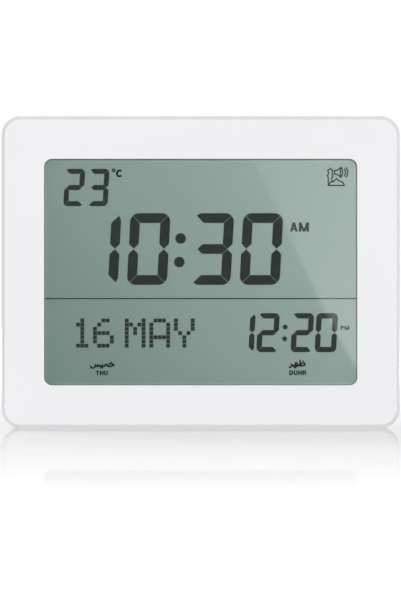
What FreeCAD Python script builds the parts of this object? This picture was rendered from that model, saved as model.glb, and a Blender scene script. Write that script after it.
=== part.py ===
# Azan clock: a wall and table clock with a large segment display, built as its separate pieces.
# Frame: X to the right seen from the front, -Y out of the front, +Z up. The origin is the middle of
# the flat foot that the clock stands on. Lengths are in millimetres, angles in degrees.

import FreeCAD, Part
import math
import os

import Sketcher

Vector = FreeCAD.Vector
Rotation = FreeCAD.Rotation

doc = FreeCAD.newDocument("AzanClock")
sheet = doc.addObject("Spreadsheet::Sheet", "Sizes")

# ---------------------------------------------------------------- driving dimensions
sizes = {
    # case
    "caseWidth": 230.0,
    "caseHeight": 180.0,
    "cornerRadius": 11.0,
    "frameDepth": 17.0,  # from the face to the parting line
    "sideWall": 2.4,
    "rearWall": 2.2,
    "rimBevel": 2.0,  # slope round the face
    "rimRound": 0.35,
    "rearRound": 5.0,
    "partingBevel": 0.3,
    "tongueHeight": 2.4,
    "tongueWall": 1.05,
    "fitGap": 0.15,  # between parts that slot together
    # window
    "border": 24.65,
    "windowRadius": 4.6,
    "windowBevel": 0.5,
    "lipThickness": 0.9,
    "lensOverlap": 2.6,
    "lensThickness": 1.2,
    "tapeThickness": 0.2,
    "tapeShow": 0.45,  # width of tape seen inside the window
    # display cell and backlight
    "lensGap": 0.3,
    "glassOverlap": 2.7,
    "glassThickness": 0.7,
    "filmThickness": 0.2,
    "filmInset": 1.2,
    "gasketWidth": 1.0,
    "cellGap": 0.2,
    "segmentThickness": 0.1,
    "glassLedge": 4.0,  # lower strip of the front glass that carries the contacts
    "guideThickness": 3.0,
    "ledStripThickness": 1.2,
    "ledSize": 1.4,
    "ledCount": 4,
    "ledSpacing": 30.0,
    "holderWall": 1.5,
    "holderFloor": 1.6,
    "holderGap": 0.3,
    "earWidth": 7.0,
    "earHeight": 9.0,
    "earThickness": 1.6,
    "earRise": 52.0,  # ears above and below the middle of the window
    "earBossRadius": 3.0,
    "zebraInset": 9.0,
    "zebraThickness": 2.4,
    # readouts: across from the middle of the window, drops from its top edge
    "slant": 0.054,
    "timeHeight": 41.5,
    "timeWidth": 23.2,
    "timeStroke": 5.7,
    "timeCorner": 5.2,
    "timeGap": 0.18,  # between the segments of a digit
    "timeDrop": 31.25,
    "timeTens": -71.15,
    "minuteTens": -6.0,
    "timePitch": 28.4,
    "timeDotRadius": 3.06,
    "timeDotX": -12.35,
    "timeDotDrop": 45.9,
    "timeDotRise": 13.65,
    "prayerHeight": 22.6,
    "prayerWidth": 12.45,
    "prayerStroke": 3.1,
    "prayerCorner": 2.8,
    "prayerGap": 0.08,
    "prayerDrop": 89.05,
    "prayerTens": 18.2,
    "prayerMinuteTens": 51.9,
    "prayerPitch": 13.9,
    "prayerDotRadius": 1.4,
    "prayerDotX": 48.5,
    "prayerDotDrop": 97.05,
    "prayerDotRise": 6.8,
    "degreeHeight": 21.6,
    "degreeWidth": 11.6,
    "degreeStroke": 2.95,
    "degreeCorner": 2.7,
    "degreeGap": 0.08,
    "degreeDrop": 5.65,
    "degreeTens": -79.45,
    "degreePitch": 14.05,
    "dotSize": 2.25,
    "dotPitch": 2.43,
    "dateDrop": 92.15,
    "dayTens": -72.0,
    "dayOnes": -62.2,
    "monthStart": -43.85,
    "monthPitch": 14.2,
    "dividerDrop": 80.65,
    "dividerThickness": 0.7,
    # main board
    "boardThickness": 1.6,
    "mainBoardInset": 7.0,
    "mainBoardHeight": 44.0,
    "mainBoardBase": 17.0,
    "boardStandoff": 2.0,
    "boardBossRadius": 2.6,
    "boardEdge": 5.0,  # screw centre to board edge
    "blobRadius": 9.0,
    "blobHeight": 1.5,
    "blobX": -24.0,
    "chipWidth": 10.0,
    "chipHeight": 6.0,
    "chipThickness": 1.6,
    "chipInset": 36.0,
    "crystalRadius": 1.5,
    "crystalLength": 8.0,
    "crystalX": -6.0,
    "capacitorRadius": 3.2,
    "capacitorHeight": 7.0,
    "capacitorInset": 13.0,
    "capacitorPitch": 9.0,
    "connectorWidth": 7.5,
    "connectorHeight": 5.0,
    "connectorThickness": 5.0,
    "sensorInset": 8.0,  # from the end of the main board
    "sensorRadius": 1.6,
    "sensorReach": 9.5,
    "sensorLeadRadius": 0.3,
    "sensorLeadGap": 0.9,
    # battery compartment and door
    "innerGap": 3.2,  # between the display holder and the battery tub
    "cellRadius": 7.1,
    "cellLength": 49.2,
    "nubRadius": 2.75,
    "nubLength": 1.2,
    "cellGapAround": 0.2,
    "cellSpacing": 15.0,
    "tubWall": 1.5,
    "tubFloor": 1.2,
    "springLength": 5.2,
    "springWire": 0.8,
    "springRadius": 3.4,
    "springTip": 2.2,
    "contactThickness": 0.5,
    "contactSize": 11.0,
    "batteryX": 66.0,
    "batteryDrop": 62.0,  # from the top of the case
    "doorThickness": 1.8,
    "doorLedge": 1.5,
    "doorGap": 0.25,
    "doorCorner": 2.0,
    "doorTabWidth": 8.0,
    "doorTabReach": 1.1,
    "doorTabThickness": 0.8,
    "doorTabSpacing": 34.0,
    "latchWidth": 14.0,
    "latchReach": 3.0,
    "gripGrooveCount": 4,
    "gripGroovePitch": 1.3,
    "gripGrooveSize": 0.6,
    "gripGrooveDepth": 0.4,
    # keys
    "panelDrop": 68.0,
    "panelWidth": 68.0,
    "panelHeight": 44.0,
    "panelCorner": 4.0,
    "panelDepth": 1.6,
    "panelWall": 2.2,
    "keyWidth": 13.0,
    "keyHeight": 7.0,
    "keyCorner": 1.5,
    "keyRound": 0.6,
    "keyGap": 0.25,
    "keyProud": 1.4,  # above the floor of the key panel
    "keyColumnPitch": 20.0,
    "keyRowPitch": 14.0,
    "keyRowRise": 13.0,  # top row above the middle of the panel
    "keyFlange": 1.0,
    "flangeThickness": 0.8,
    "flangeGap": 0.2,
    "keyTravel": 0.5,
    "stemRadius": 1.75,
    "stemShow": 3.1,  # stem between its flange and its switch
    "stemDepth": 0.2,  # stem in its switch at rest
    "boreGap": 0.05,
    "switchSize": 6.0,
    "switchHeight": 3.5,
    "keyBoardWidth": 70.0,
    "keyBoardHeight": 42.0,
    "slideDrop": 15.0,  # slide switch below the middle of the panel
    "slideTravel": 3.0,
    "slideFootWidth": 2.0,
    "slideFootHeight": 1.8,
    "slideCapWidth": 4.5,
    "slideCapHeight": 3.0,
    "slideBodyWidth": 10.0,
    "slideBodyHeight": 4.6,
    "slideBodyDepth": 3.6,
    "slideSlotDepth": 1.0,
    "slideSink": 0.8,  # knob below the rear face
    "slideRound": 0.4,
    "postRadius": 2.6,
    # speaker
    "speakerX": -66.0,
    "speakerDrop": 62.0,
    "speakerRadius": 20.0,
    "speakerFlange": 3.0,
    "flangeSheet": 1.0,
    "gasketThickness": 0.6,
    "basketDepth": 6.0,
    "basketSheet": 0.8,
    "magnetRadius": 9.0,
    "magnetDepth": 4.0,
    "coneSheet": 0.5,
    "coneRim": 1.1,
    "coneDepth": 4.2,
    "terminalOffset": 8.0,  # of the wire terminals from the middle of the speaker
    "terminalWidth": 8.0,
    "terminalHeight": 1.3,
    "domeRadius": 5.0,
    "grilleHoleRadius": 1.2,
    "grilleRingPitch": 4.3,
    "grilleRings": 3,
    "ringRibWall": 1.2,
    "ringRibOverlap": 0.6,  # of the rib and the clamp posts
    "clampRadius": 4.6,
    "clampThickness": 1.2,
    # stand leg
    "hingeDrop": 12.0,  # hinge below the key panel
    "legWidth": 60.0,
    "legThickness": 3.0,
    "legSink": 0.4,  # leg below the rear face
    "legGap": 0.4,  # behind the folded leg
    "legSideGap": 1.0,
    "legTipHeight": 2.4,
    "legHeel": 2.5,
    "legCorner": 5.0,
    "legOpening": 30.0,  # angle at which the heel meets its stop
    "hingePinRadius": 1.2,
    "hingePinLength": 2.2,
    "hingeWall": 3.0,
    "hingeGap": 0.05,
    "legPanelWidth": 44.0,
    "legPanelHeight": 42.0,
    "legPanelRise": 46.0,
    "legPanelDepth": 0.7,
    "fingerWidth": 24.0,
    "fingerHeight": 8.0,
    "fingerRise": 14.0,
    "padThickness": 1.2,
    "padWidth": 40.0,
    # wall hooks and air vents
    "hookSpacing": 140.0,
    "hookDrop": 31.0,
    "hookEntryRadius": 4.5,
    "hookSlotRadius": 2.1,
    "hookSlotRise": 8.0,
    "ventWidth": 1.6,
    "ventHeight": 12.0,
    "ventPitch": 4.0,
    "ventCount": 5,
    "ventBase": 44.0,
    # fasteners
    "postEdge": 12.0,  # case screws from the edges of the case
    "casePostRadius": 3.6,
    "screwHeadRadius": 2.4,
    "screwHeadHeight": 1.6,
    "screwShankRadius": 1.2,
    "screwHoleGap": 0.3,
    "pilotGap": 0.03,
    "caseScrewLength": 11.0,
    "caseScrewSink": 7.0,
    "smallHeadRadius": 1.8,
    "smallHeadHeight": 1.2,
    "smallShankRadius": 0.9,
    "smallScrewLength": 4.2,
    "crossWidth": 0.6,
    "crossDepth": 0.8,
    # wires
    "wireRadius": 0.6,
    "ribbonWidth": 12.0,
    "ribbonThickness": 0.8,
    "ribbonOverlap": 4.0,
    "wireDrop": 14.0,  # straight run at each end of a wire
}

for row, (alias, number) in enumerate(sizes.items(), start=1):
    sheet.set(f"A{row}", alias)
    sheet.set(f"B{row}", str(number))
    sheet.setAlias(f"B{row}", alias)
doc.recompute()


# ---------------------------------------------------------------- sizes as expressions on the sheet
class Size:
    # A length that is both the text of an expression on the sheet and its present value
    def __init__(self, text, value):
        self.text = text
        self.value = value

    def __add__(self, other):
        return joined(self, "+", other, self.value + asSize(other).value)

    def __radd__(self, other):
        return asSize(other) + self

    def __sub__(self, other):
        return joined(self, "-", other, self.value - asSize(other).value)

    def __rsub__(self, other):
        return asSize(other) - self

    def __mul__(self, other):
        return joined(self, "*", other, self.value * asSize(other).value)

    def __rmul__(self, other):
        return asSize(other) * self

    def __truediv__(self, other):
        return joined(self, "/", other, self.value / asSize(other).value)

    def __neg__(self):
        return 0 - self


def asSize(item):
    return item if isinstance(item, Size) else Size(repr(float(item)), float(item))


def joined(left, sign, right, value):
    return Size(f"({left.text} {sign} {asSize(right).text})", value)


class Sheet:
    def __getattr__(self, alias):
        return Size(f"Sizes.{alias}", float(sheet.get(alias)))


dim = Sheet()


def bind(thing, path, length):
    thing.setExpression(path, asSize(length).text)


# ---------------------------------------------------------------- plain solids and booleans
turnTo = {
    "x": Rotation(Vector(0, 1, 0), 90),
    "y": Rotation(Vector(1, 0, 0), -90),
    "z": Rotation(),
}


def place(thing, x, y, z):
    for axis, length in zip("xyz", (x, y, z)):
        bind(thing, f"Placement.Base.{axis}", length)
    return thing


def box(name, low, high):
    block = doc.addObject("Part::Box", name)
    for side, start, end in zip(("Length", "Width", "Height"), low, high):
        bind(block, side, end - start)
    return place(block, *low)


def blockAt(name, x, z, width, height, yStart, yEnd):
    low = (x - width / 2, yStart, z - height / 2)
    high = (x + width / 2, yEnd, z + height / 2)
    return box(name, low, high)


def rod(name, axis, radius, start, length):
    cylinder = doc.addObject("Part::Cylinder", name)
    bind(cylinder, "Radius", radius)
    bind(cylinder, "Height", length)
    cylinder.Placement = FreeCAD.Placement(Vector(), turnTo[axis])
    return place(cylinder, *start)


def fuse(name, *shapes):
    union = doc.addObject("Part::MultiFuse", name)
    union.Shapes = list(shapes)
    return union


def cut(name, base, *tools):
    result = doc.addObject("Part::Cut", name)
    result.Base = base
    result.Tool = tools[0] if len(tools) == 1 else fuse(f"{name}_tools", *tools)
    return result


def group(name, shapes):
    compound = doc.addObject("Part::Compound", name)
    compound.Links = list(shapes)
    return compound


# ---------------------------------------------------------------- sketches and features of bodies
def newBody(label):
    return doc.addObject("PartDesign::Body", label)


def originPlane(body, role):
    return next(plane for plane in body.Origin.OriginFeatures if plane.Role == role)


def newSketch(body, name, role, level):
    # level is the sketch's place along +X or +Y, whichever its plane is square to
    sketch = body.newObject("Sketcher::SketchObject", name)
    sketch.AttachmentSupport = [(originPlane(body, role), "")]
    sketch.MapMode = "FlatFace"
    offset = -asSize(level) if role == "XZ_Plane" else asSize(level)
    bind(sketch, "AttachmentOffset.Base.z", offset)
    return sketch


# A closed outline is given as a function of its first geometry index. It returns its geometry and
# its rules; a rule is a kind of constraint, the terms it ties and the length it is bound to, if any.
def circle(x, z, radius):
    x, z, radius = asSize(x), asSize(z), asSize(radius)

    def outline(first):
        geometry = [Part.Circle(Vector(x.value, z.value, 0), Vector(0, 0, 1), radius.value)]
        rules = [
            ("Radius", (first,), radius),
            ("DistanceX", (-1, 1, first, 3), x),
            ("DistanceY", (-1, 1, first, 3), z),
        ]
        return geometry, rules

    return outline


def polygon(points):
    points = [(asSize(u), asSize(v)) for u, v in points]

    def outline(first):
        corners = [Vector(u.value, v.value, 0) for u, v in points]
        geometry = [Part.LineSegment(a, b) for a, b in zip(corners, corners[1:] + corners[:1])]
        rules = []
        for i, (u, v) in enumerate(points):
            rules.append(("Coincident", (first + i, 2, first + (i + 1) % len(points), 1), None))
            rules.append(("DistanceX", (-1, 1, first + i, 1), u))
            rules.append(("DistanceY", (-1, 1, first + i, 1), v))
        return geometry, rules

    return outline


def rectangle(x, z, width, height):
    left, right = x - width / 2, x + width / 2
    low, high = z - height / 2, z + height / 2
    return polygon([(left, low), (right, low), (right, high), (left, high)])


def rounded(x, z, width, height, radius):
    x, z, width, height, radius = (asSize(item) for item in (x, z, width, height, radius))
    left, right = x - width / 2, x + width / 2
    low, high = z - height / 2, z + height / 2

    def outline(first):
        r = radius.value
        a, b, c, d = left.value, right.value, low.value, high.value
        sides = [
            (Vector(a + r, c, 0), Vector(b - r, c, 0)),
            (Vector(b, c + r, 0), Vector(b, d - r, 0)),
            (Vector(b - r, d, 0), Vector(a + r, d, 0)),
            (Vector(a, d - r, 0), Vector(a, c + r, 0)),
        ]
        geometry = [Part.LineSegment(start, end) for start, end in sides]
        for i, (u, v) in enumerate([(b - r, c + r), (b - r, d - r), (a + r, d - r), (a + r, c + r)]):
            corner = Part.Circle(Vector(u, v, 0), Vector(0, 0, 1), r)
            start = math.radians(90 * (i - 1))
            geometry.append(Part.ArcOfCircle(corner, start, start + math.pi / 2))
        rules = []
        for i in range(4):
            rules.append(("Tangent", (first + i, 2, first + 4 + i, 1), None))
            rules.append(("Tangent", (first + 4 + i, 2, first + (i + 1) % 4, 1), None))
            rules.append(("Horizontal" if i % 2 == 0 else "Vertical", (first + i,), None))
        rules += [("Equal", (first + 4, first + 4 + i), None) for i in range(1, 4)]
        rules += [
            ("Radius", (first + 4,), radius),
            ("DistanceX", (-1, 1, first + 3, 1), left),
            ("DistanceX", (-1, 1, first + 1, 1), right),
            ("DistanceY", (-1, 1, first, 1), low),
            ("DistanceY", (-1, 1, first + 2, 1), high),
        ]
        return geometry, rules

    return outline


def fillSketch(sketch, outlines):
    geometry, rules = [], []
    for outline in outlines:
        shapes, ties = outline(len(geometry))
        geometry += shapes
        rules += ties
    sketch.addGeometry(geometry, False)
    constraints = []
    for kind, terms, length in rules:
        values = terms if length is None else (*terms, length.value)
        constraints.append(Sketcher.Constraint(kind, *values))
    sketch.addConstraint(constraints)
    for i, (kind, terms, length) in enumerate(rules):
        if length is not None:
            bind(sketch, f"Constraints[{i}]", length)


def extrude(body, kind, sketch, length, forward, both=False):
    # Pads and pockets go along +Y or +X when forward is true, and the other way when it isn't
    feature = body.newObject(f"PartDesign::{kind}", f"{sketch.Name}_{kind.lower()}")
    feature.Profile = sketch
    alongNormal = forward if "YZ_Plane" in roleOf(sketch) else not forward
    feature.Reversed = (not alongNormal) if kind == "Pad" else alongNormal
    feature.Midplane = both
    bind(feature, "Length", length)
    before = body.Shape.Volume if body.Shape.Solids else 0.0
    body.Tip = feature
    doc.recompute()
    change = body.Shape.Volume - before
    if (change if kind == "Pad" else -change) < 1e-3:
        raise RuntimeError(f"{feature.Name} did not change {body.Label} as it should")
    return feature


def roleOf(sketch):
    return sketch.AttachmentSupport[0][0].Role


def pad(body, name, level, length, outlines, forward=True, role="XZ_Plane", both=False):
    return fromOutlines(body, "Pad", name, level, length, outlines, forward, role, both)


def pocket(body, name, level, length, outlines, forward=False, role="XZ_Plane", both=False):
    return fromOutlines(body, "Pocket", name, level, length, outlines, forward, role, both)


def fromOutlines(body, kind, name, level, length, outlines, forward, role, both):
    sketch = newSketch(body, f"{body.Name}_{name}", role, level)
    fillSketch(sketch, outlines)
    return extrude(body, kind, sketch, length, forward, both)


def edgesWhere(body, test):
    return [f"Edge{i}" for i, edge in enumerate(body.Shape.Edges, start=1) if test(edge.BoundBox)]


def atLevel(y, reach=None):
    # Edges that lie in the plane y, and only those that stay inside or outside a reach in X and Z
    def test(bounds):
        return abs(bounds.YMin - y.value) < 0.01 and abs(bounds.YMax - y.value) < 0.01

    def inside(bounds):
        half, low, high = reach
        return test(bounds) and abs(bounds.XMin) < half and abs(bounds.XMax) < half and (
            bounds.ZMin > low and bounds.ZMax < high
        )

    return test if reach is None else inside


def dress(body, kind, name, length, edges):
    base = body.Tip
    feature = body.newObject(f"PartDesign::{kind}", f"{body.Name}_{name}")
    feature.Base = (base, edges)
    bind(feature, "Radius" if kind == "Fillet" else "Size", length)
    body.Tip = feature
    doc.recompute()
    if not feature.isValid():
        raise RuntimeError(f"{feature.Name} failed on {len(edges)} edges: {feature.getStatusString()}")
    return feature


def turned(label, profile, x, z):
    # A body turned about an axis along Y through (x, z); profile holds pairs of radius and y
    body = newBody(label)
    sketch = newSketch(body, f"{label}_profile", "XY_Plane", 0)
    fillSketch(sketch, [polygon(profile)])
    revolution = body.newObject("PartDesign::Revolution", f"{label}_turn")
    revolution.Profile = sketch
    revolution.ReferenceAxis = (sketch, ["V_Axis"])
    revolution.Angle = 360
    body.Tip = revolution
    place(body, x, 0, z)
    doc.recompute()
    return body


# ---------------------------------------------------------------- places that several pieces share
frontWall = dim.lipThickness + dim.tapeThickness + dim.lensThickness
cellDepth = dim.glassThickness * 2 + dim.cellGap
displayDepth = frontWall + dim.lensGap + dim.filmThickness * 2 + cellDepth + dim.guideThickness
tubDepth = dim.tubFloor + dim.cellGapAround * 2 + dim.cellRadius * 2 + dim.doorThickness
caseDepth = displayDepth + dim.holderFloor + dim.innerGap + tubDepth

faceY = -caseDepth / 2
backY = caseDepth / 2
partingY = faceY + dim.frameDepth
wallInnerY = backY - dim.rearWall
frontWallBackY = faceY + frontWall
lensBackY = frontWallBackY
lensFrontY = lensBackY - dim.lensThickness
tapeFrontY = lensFrontY - dim.tapeThickness
frontFilmY = lensBackY + dim.lensGap
frontGlassY = frontFilmY + dim.filmThickness
frontGlassBackY = frontGlassY + dim.glassThickness
rearGlassY = frontGlassBackY + dim.cellGap
segmentY = rearGlassY - dim.segmentThickness
reflectorY = rearGlassY + dim.glassThickness
guideY = reflectorY + dim.filmThickness
holderFloorY = guideY + dim.guideThickness
holderBackY = holderFloorY + dim.holderFloor
boardY = holderBackY + dim.boardStandoff
boardBackY = boardY + dim.boardThickness

middleZ = dim.caseHeight / 2
windowWidth = dim.caseWidth - dim.border * 2
windowHeight = dim.caseHeight - dim.border * 2
windowTop = middleZ + windowHeight / 2
innerWidth = dim.caseWidth - dim.sideWall * 2
innerHeight = dim.caseHeight - dim.sideWall * 2
innerRadius = dim.cornerRadius - dim.sideWall

glassWidth = windowWidth + dim.glassOverlap * 2
rearGlassHeight = windowHeight + dim.glassOverlap * 2
frontGlassHeight = rearGlassHeight + dim.glassLedge
frontGlassZ = middleZ - dim.glassLedge / 2
frontGlassLow = frontGlassZ - frontGlassHeight / 2
zebraZ = frontGlassLow + dim.glassLedge / 2
holderInnerWidth = glassWidth + dim.holderGap * 2
holderInnerHeight = frontGlassHeight + dim.holderGap * 2
holderWidth = holderInnerWidth + dim.holderWall * 2
holderHeight = holderInnerHeight + dim.holderWall * 2
earX = holderWidth / 2 + dim.earWidth / 2
mainBoardWidth = holderWidth - dim.mainBoardInset * 2
mainBoardZ = dim.mainBoardBase + dim.mainBoardHeight / 2
casePostX = dim.caseWidth / 2 - dim.postEdge
casePostHigh = dim.caseHeight - dim.postEdge

batteryZ = dim.caseHeight - dim.batteryDrop
speakerZ = dim.caseHeight - dim.speakerDrop
panelZ = dim.caseHeight - dim.panelDrop
hingeZ = panelZ - dim.panelHeight / 2 - dim.hingeDrop


def fourCorners(x, low, high):
    return [(x, low), (x, high), (-x, low), (-x, high)]


caseScrewPlaces = fourCorners(casePostX, dim.postEdge, casePostHigh)
earPlaces = fourCorners(earX, middleZ - dim.earRise, middleZ + dim.earRise)
boardScrewPlaces = fourCorners(
    mainBoardWidth / 2 - dim.boardEdge,
    zebraZ + dim.zebraThickness / 2 + dim.boardBossRadius + dim.holderGap * 2,
    dim.mainBoardBase + dim.mainBoardHeight - dim.boardEdge,
)
keyBoardScrewPlaces = fourCorners(
    dim.keyBoardWidth / 2 - dim.boardEdge + 1,
    panelZ - dim.keyBoardHeight / 2 + dim.boardEdge - 1,
    panelZ + dim.keyBoardHeight / 2 - dim.boardEdge + 1,
)


# ---------------------------------------------------------------- front frame with window, lens and tape
def frontFrame():
    body = newBody("front_frame")
    frame = (0, middleZ, dim.caseWidth, dim.caseHeight, dim.cornerRadius)
    pad(body, "outline", faceY, dim.frameDepth, [rounded(*frame)])
    dress(body, "Chamfer", "rim", dim.rimBevel, edgesWhere(body, atLevel(faceY)))
    dress(body, "Fillet", "rimEdge", dim.rimRound, edgesWhere(body, atLevel(faceY)))
    dress(body, "Chamfer", "parting", dim.partingBevel, edgesWhere(body, atLevel(partingY)))
    cavity = rounded(0, middleZ, innerWidth, innerHeight, innerRadius)
    pocket(body, "cavity", partingY, dim.frameDepth - frontWall, [cavity])
    # The tongue of the rear cover slots into this rebate
    rebateWall = dim.sideWall - dim.tongueWall - dim.fitGap
    rebate = rounded(
        0,
        middleZ,
        dim.caseWidth - rebateWall * 2,
        dim.caseHeight - rebateWall * 2,
        dim.cornerRadius - rebateWall,
    )
    pocket(body, "tongueRebate", partingY, dim.tongueHeight + dim.fitGap, [rebate])
    window = rounded(0, middleZ, windowWidth, windowHeight, dim.windowRadius)
    pocket(body, "window", frontWallBackY, frontWall, [window])
    halfWindow = windowWidth.value / 2 + 0.01
    reach = (halfWindow, dim.border.value - 0.01, windowTop.value + 0.01)
    dress(body, "Chamfer", "windowBevel", dim.windowBevel, edgesWhere(body, atLevel(faceY, reach)))
    overlap = dim.lensOverlap + dim.fitGap
    lensSeat = rounded(
        0,
        middleZ,
        windowWidth + overlap * 2,
        windowHeight + overlap * 2,
        dim.windowRadius + overlap,
    )
    pocket(body, "lensSeat", frontWallBackY, frontWall - dim.lipThickness, [lensSeat])
    posts = [circle(x, z, dim.casePostRadius) for x, z in caseScrewPlaces]
    pad(body, "casePosts", frontWallBackY, partingY - frontWallBackY, posts)
    earBosses = [circle(x, z, dim.earBossRadius) for x, z in earPlaces]
    earBossY = holderBackY - dim.earThickness
    pad(body, "earBosses", frontWallBackY, earBossY - frontWallBackY, earBosses)
    pilot = dim.screwShankRadius + dim.pilotGap
    pilots = [circle(x, z, pilot) for x, z in caseScrewPlaces]
    pocket(body, "casePilots", partingY, dim.caseScrewLength, pilots)
    smallPilot = dim.smallShankRadius + dim.pilotGap
    smallPilots = [circle(x, z, smallPilot) for x, z in earPlaces]
    pocket(body, "earPilots", earBossY, dim.smallScrewLength, smallPilots)
    return body


def frontPlate(label, width, height, z, radius, yStart, yEnd):
    body = newBody(label)
    pad(body, "outline", yStart, yEnd - yStart, [rounded(0, z, width, height, radius)])
    return body


def windowParts():
    lensWidth = windowWidth + dim.lensOverlap * 2
    lensHeight = windowHeight + dim.lensOverlap * 2
    lensRadius = dim.windowRadius + dim.lensOverlap
    lens = frontPlate("lens_window", lensWidth, lensHeight, middleZ, lensRadius, lensFrontY, lensBackY)
    tape = frontPlate("lens_tape", lensWidth, lensHeight, middleZ, lensRadius, tapeFrontY, lensFrontY)
    opening = rounded(
        0,
        middleZ,
        windowWidth - dim.tapeShow * 2,
        windowHeight - dim.tapeShow * 2,
        dim.windowRadius - dim.tapeShow,
    )
    pocket(tape, "opening", lensFrontY, dim.tapeThickness, [opening])
    return [lens, tape]


# ---------------------------------------------------------------- display cell
def displayCell():
    filmWidth = glassWidth - dim.filmInset * 2
    filmHeight = rearGlassHeight - dim.filmInset * 2
    halfWidth = glassWidth / 2
    half = rearGlassHeight / 2
    filmHalfWidth, filmHalf = filmWidth / 2, filmHeight / 2

    def sheetOf(name, width, low, high, yStart, thickness):
        return box(name, (-width, yStart, low), (width, yStart + thickness, high))

    low, high = middleZ - half, middleZ + half
    filmLow, filmHigh = middleZ - filmHalf, middleZ + filmHalf
    glass, film = dim.glassThickness, dim.filmThickness
    return [
        sheetOf("lcd_front_polariser", filmHalfWidth, filmLow, filmHigh, frontFilmY, film),
        sheetOf("lcd_front_glass", halfWidth, frontGlassLow, high, frontGlassY, glass),
        sheetOf("lcd_rear_glass", halfWidth, low, high, rearGlassY, glass),
        sheetOf("lcd_reflector", filmHalfWidth, filmLow, filmHigh, reflectorY, film),
    ]


def displayGasket():
    # Foam ring that the holder squeezes between the front wall and the glass
    gasket = newBody("display_gasket")
    outer = rectangle(0, frontGlassZ, glassWidth, frontGlassHeight)
    pad(gasket, "outline", lensBackY, frontGlassY - lensBackY, [outer])
    width = glassWidth - dim.gasketWidth * 2
    inner = rectangle(0, frontGlassZ, width, frontGlassHeight - dim.gasketWidth * 2)
    pocket(gasket, "opening", frontGlassY, frontGlassY - lensBackY, [inner])
    return gasket


# ---------------------------------------------------------------- readouts
# A digit is a slanted frame with a bar across: rounded outside, square inside, mitred at 45 degrees
litSegments = {"0": "abcdef", "1": "bc", "2": "abged", "3": "abgcd"}
dotRows = {
    "1": [" X ", "XX ", " X ", " X ", " X ", " X ", "XXX"],
    "6": ["  XX ", " X   ", "X    ", "XXXX ", "X   X", "X   X", " XXX "],
    "M": ["X   X", "XX XX", "X X X", "X X X", "X   X", "X   X", "X   X"],
    "A": [" XXX ", "X   X", "X   X", "X   X", "XXXXX", "X   X", "X   X"],
    "Y": ["X   X", "X   X", "X   X", " X X ", "  X  ", "  X  ", "  X  "],
}


def segmentOutlines(w, height, t, r, gap):
    # w and height of the digit, t its stroke, r its corner; an item is a point or an arc's three points
    middle = height / 2
    s = gap / math.sqrt(2)
    u = (s + math.sqrt(2 * r * r - s * s)) / 2  # where a mitre's edge meets the rounding
    turn = (math.atan2(u, u - s) + math.pi / 2) / 2  # half way along the rounding that is left
    across, up = r * math.cos(turn), r * math.sin(turn)

    def topBar():
        left = ((r + s - u, height - r + u), (r - across, height - r + up), (r, height))
        right = tuple((w - x, z) for x, z in reversed(left))
        return [(t + s, height - t), left, right, (w - t - s, height - t)]

    def upperRight():
        corner = ((w - r + u, height - r - s + u), (w - r + up, height - r + across), (w, height - r))
        waist = [(w, middle + t / 2 + s), (w - t / 2, middle + s), (w - t, middle + t / 2 + s)]
        return [(w - t, height - t - s), corner, *waist]

    def middleBar():
        right = [(w - t - s, middle + t / 2), (w - t / 2 - s, middle), (w - t - s, middle - t / 2)]
        return right + [(w - x, z) for x, z in reversed(right)]

    def mirrored(outline, acrossX, acrossZ):
        def flip(item):
            if isinstance(item[0], tuple):
                return tuple(flip(point) for point in item)
            x, z = item
            return (w - x if acrossX else x, height - z if acrossZ else z)

        return [flip(item) for item in outline]

    return {
        "a": topBar(),
        "b": upperRight(),
        "c": mirrored(upperRight(), False, True),
        "d": mirrored(topBar(), False, True),
        "e": mirrored(upperRight(), True, True),
        "f": mirrored(upperRight(), True, False),
        "g": middleBar(),
    }


def wireThrough(items):
    # items are points and arcs; an arc is a tuple of its start, middle and end
    spans = [item if isinstance(item, tuple) else (item, None, item) for item in items]
    edges = []
    for (start, through, end), following in zip(spans, spans[1:] + spans[:1]):
        if through is not None:
            edges.append(Part.Arc(start, through, end).toShape())
        if end.distanceToPoint(following[0]) > 1e-6:
            edges.append(Part.LineSegment(end, following[0]).toShape())
    return Part.Wire(edges)


def segmentSolid(outline, left, base):
    slant = dim.slant.value

    def onCell(point):
        x, z = point
        return Vector(left + x + z * slant, segmentY.value, base + z)

    items = []
    for item in outline:
        isArc = isinstance(item[0], tuple)
        items.append(tuple(onCell(point) for point in item) if isArc else onCell(item))
    return Part.Face(wireThrough(items)).extrude(Vector(0, dim.segmentThickness.value, 0))


def digitSolids(digit, left, base, width, height, stroke, corner, gap):
    outlines = segmentOutlines(width, height, stroke, corner, gap)
    return [segmentSolid(outlines[letter], left, base) for letter in litSegments[digit]]


def dotSolid(x, z, radius):
    centre = Vector(x, segmentY.value, z)
    return Part.makeCylinder(radius, dim.segmentThickness.value, centre, Vector(0, 1, 0))


def readout(label, prefix, digits, lefts, dots=()):
    # prefix picks the readout's sizes on the sheet; lefts are the digits' left edges at their feet
    endings = ("Width", "Height", "Stroke", "Corner", "Gap", "Drop")
    width, height, stroke, corner, gap, drop = (getattr(dim, prefix + ending).value for ending in endings)
    base = windowTop.value - drop - height
    solids = []
    for digit, left in zip(digits, lefts):
        solids += digitSolids(digit, left.value, base, width, height, stroke, corner, gap)
    for x, z, radius in dots:
        solids.append(dotSolid(x.value, z.value, radius.value))
    feature = doc.addObject("Part::Feature", label)
    feature.Shape = Part.makeCompound(solids)
    return feature


def colon(prefix):
    # Two dots, the upper one moved along the slant
    x, drop, rise, radius = (
        getattr(dim, prefix + ending) for ending in ("DotX", "DotDrop", "DotRise", "DotRadius")
    )
    upperZ = windowTop - drop
    lowerZ = upperZ - rise
    return [(x, lowerZ, radius), (x + rise * dim.slant, upperZ, radius)]


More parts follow.
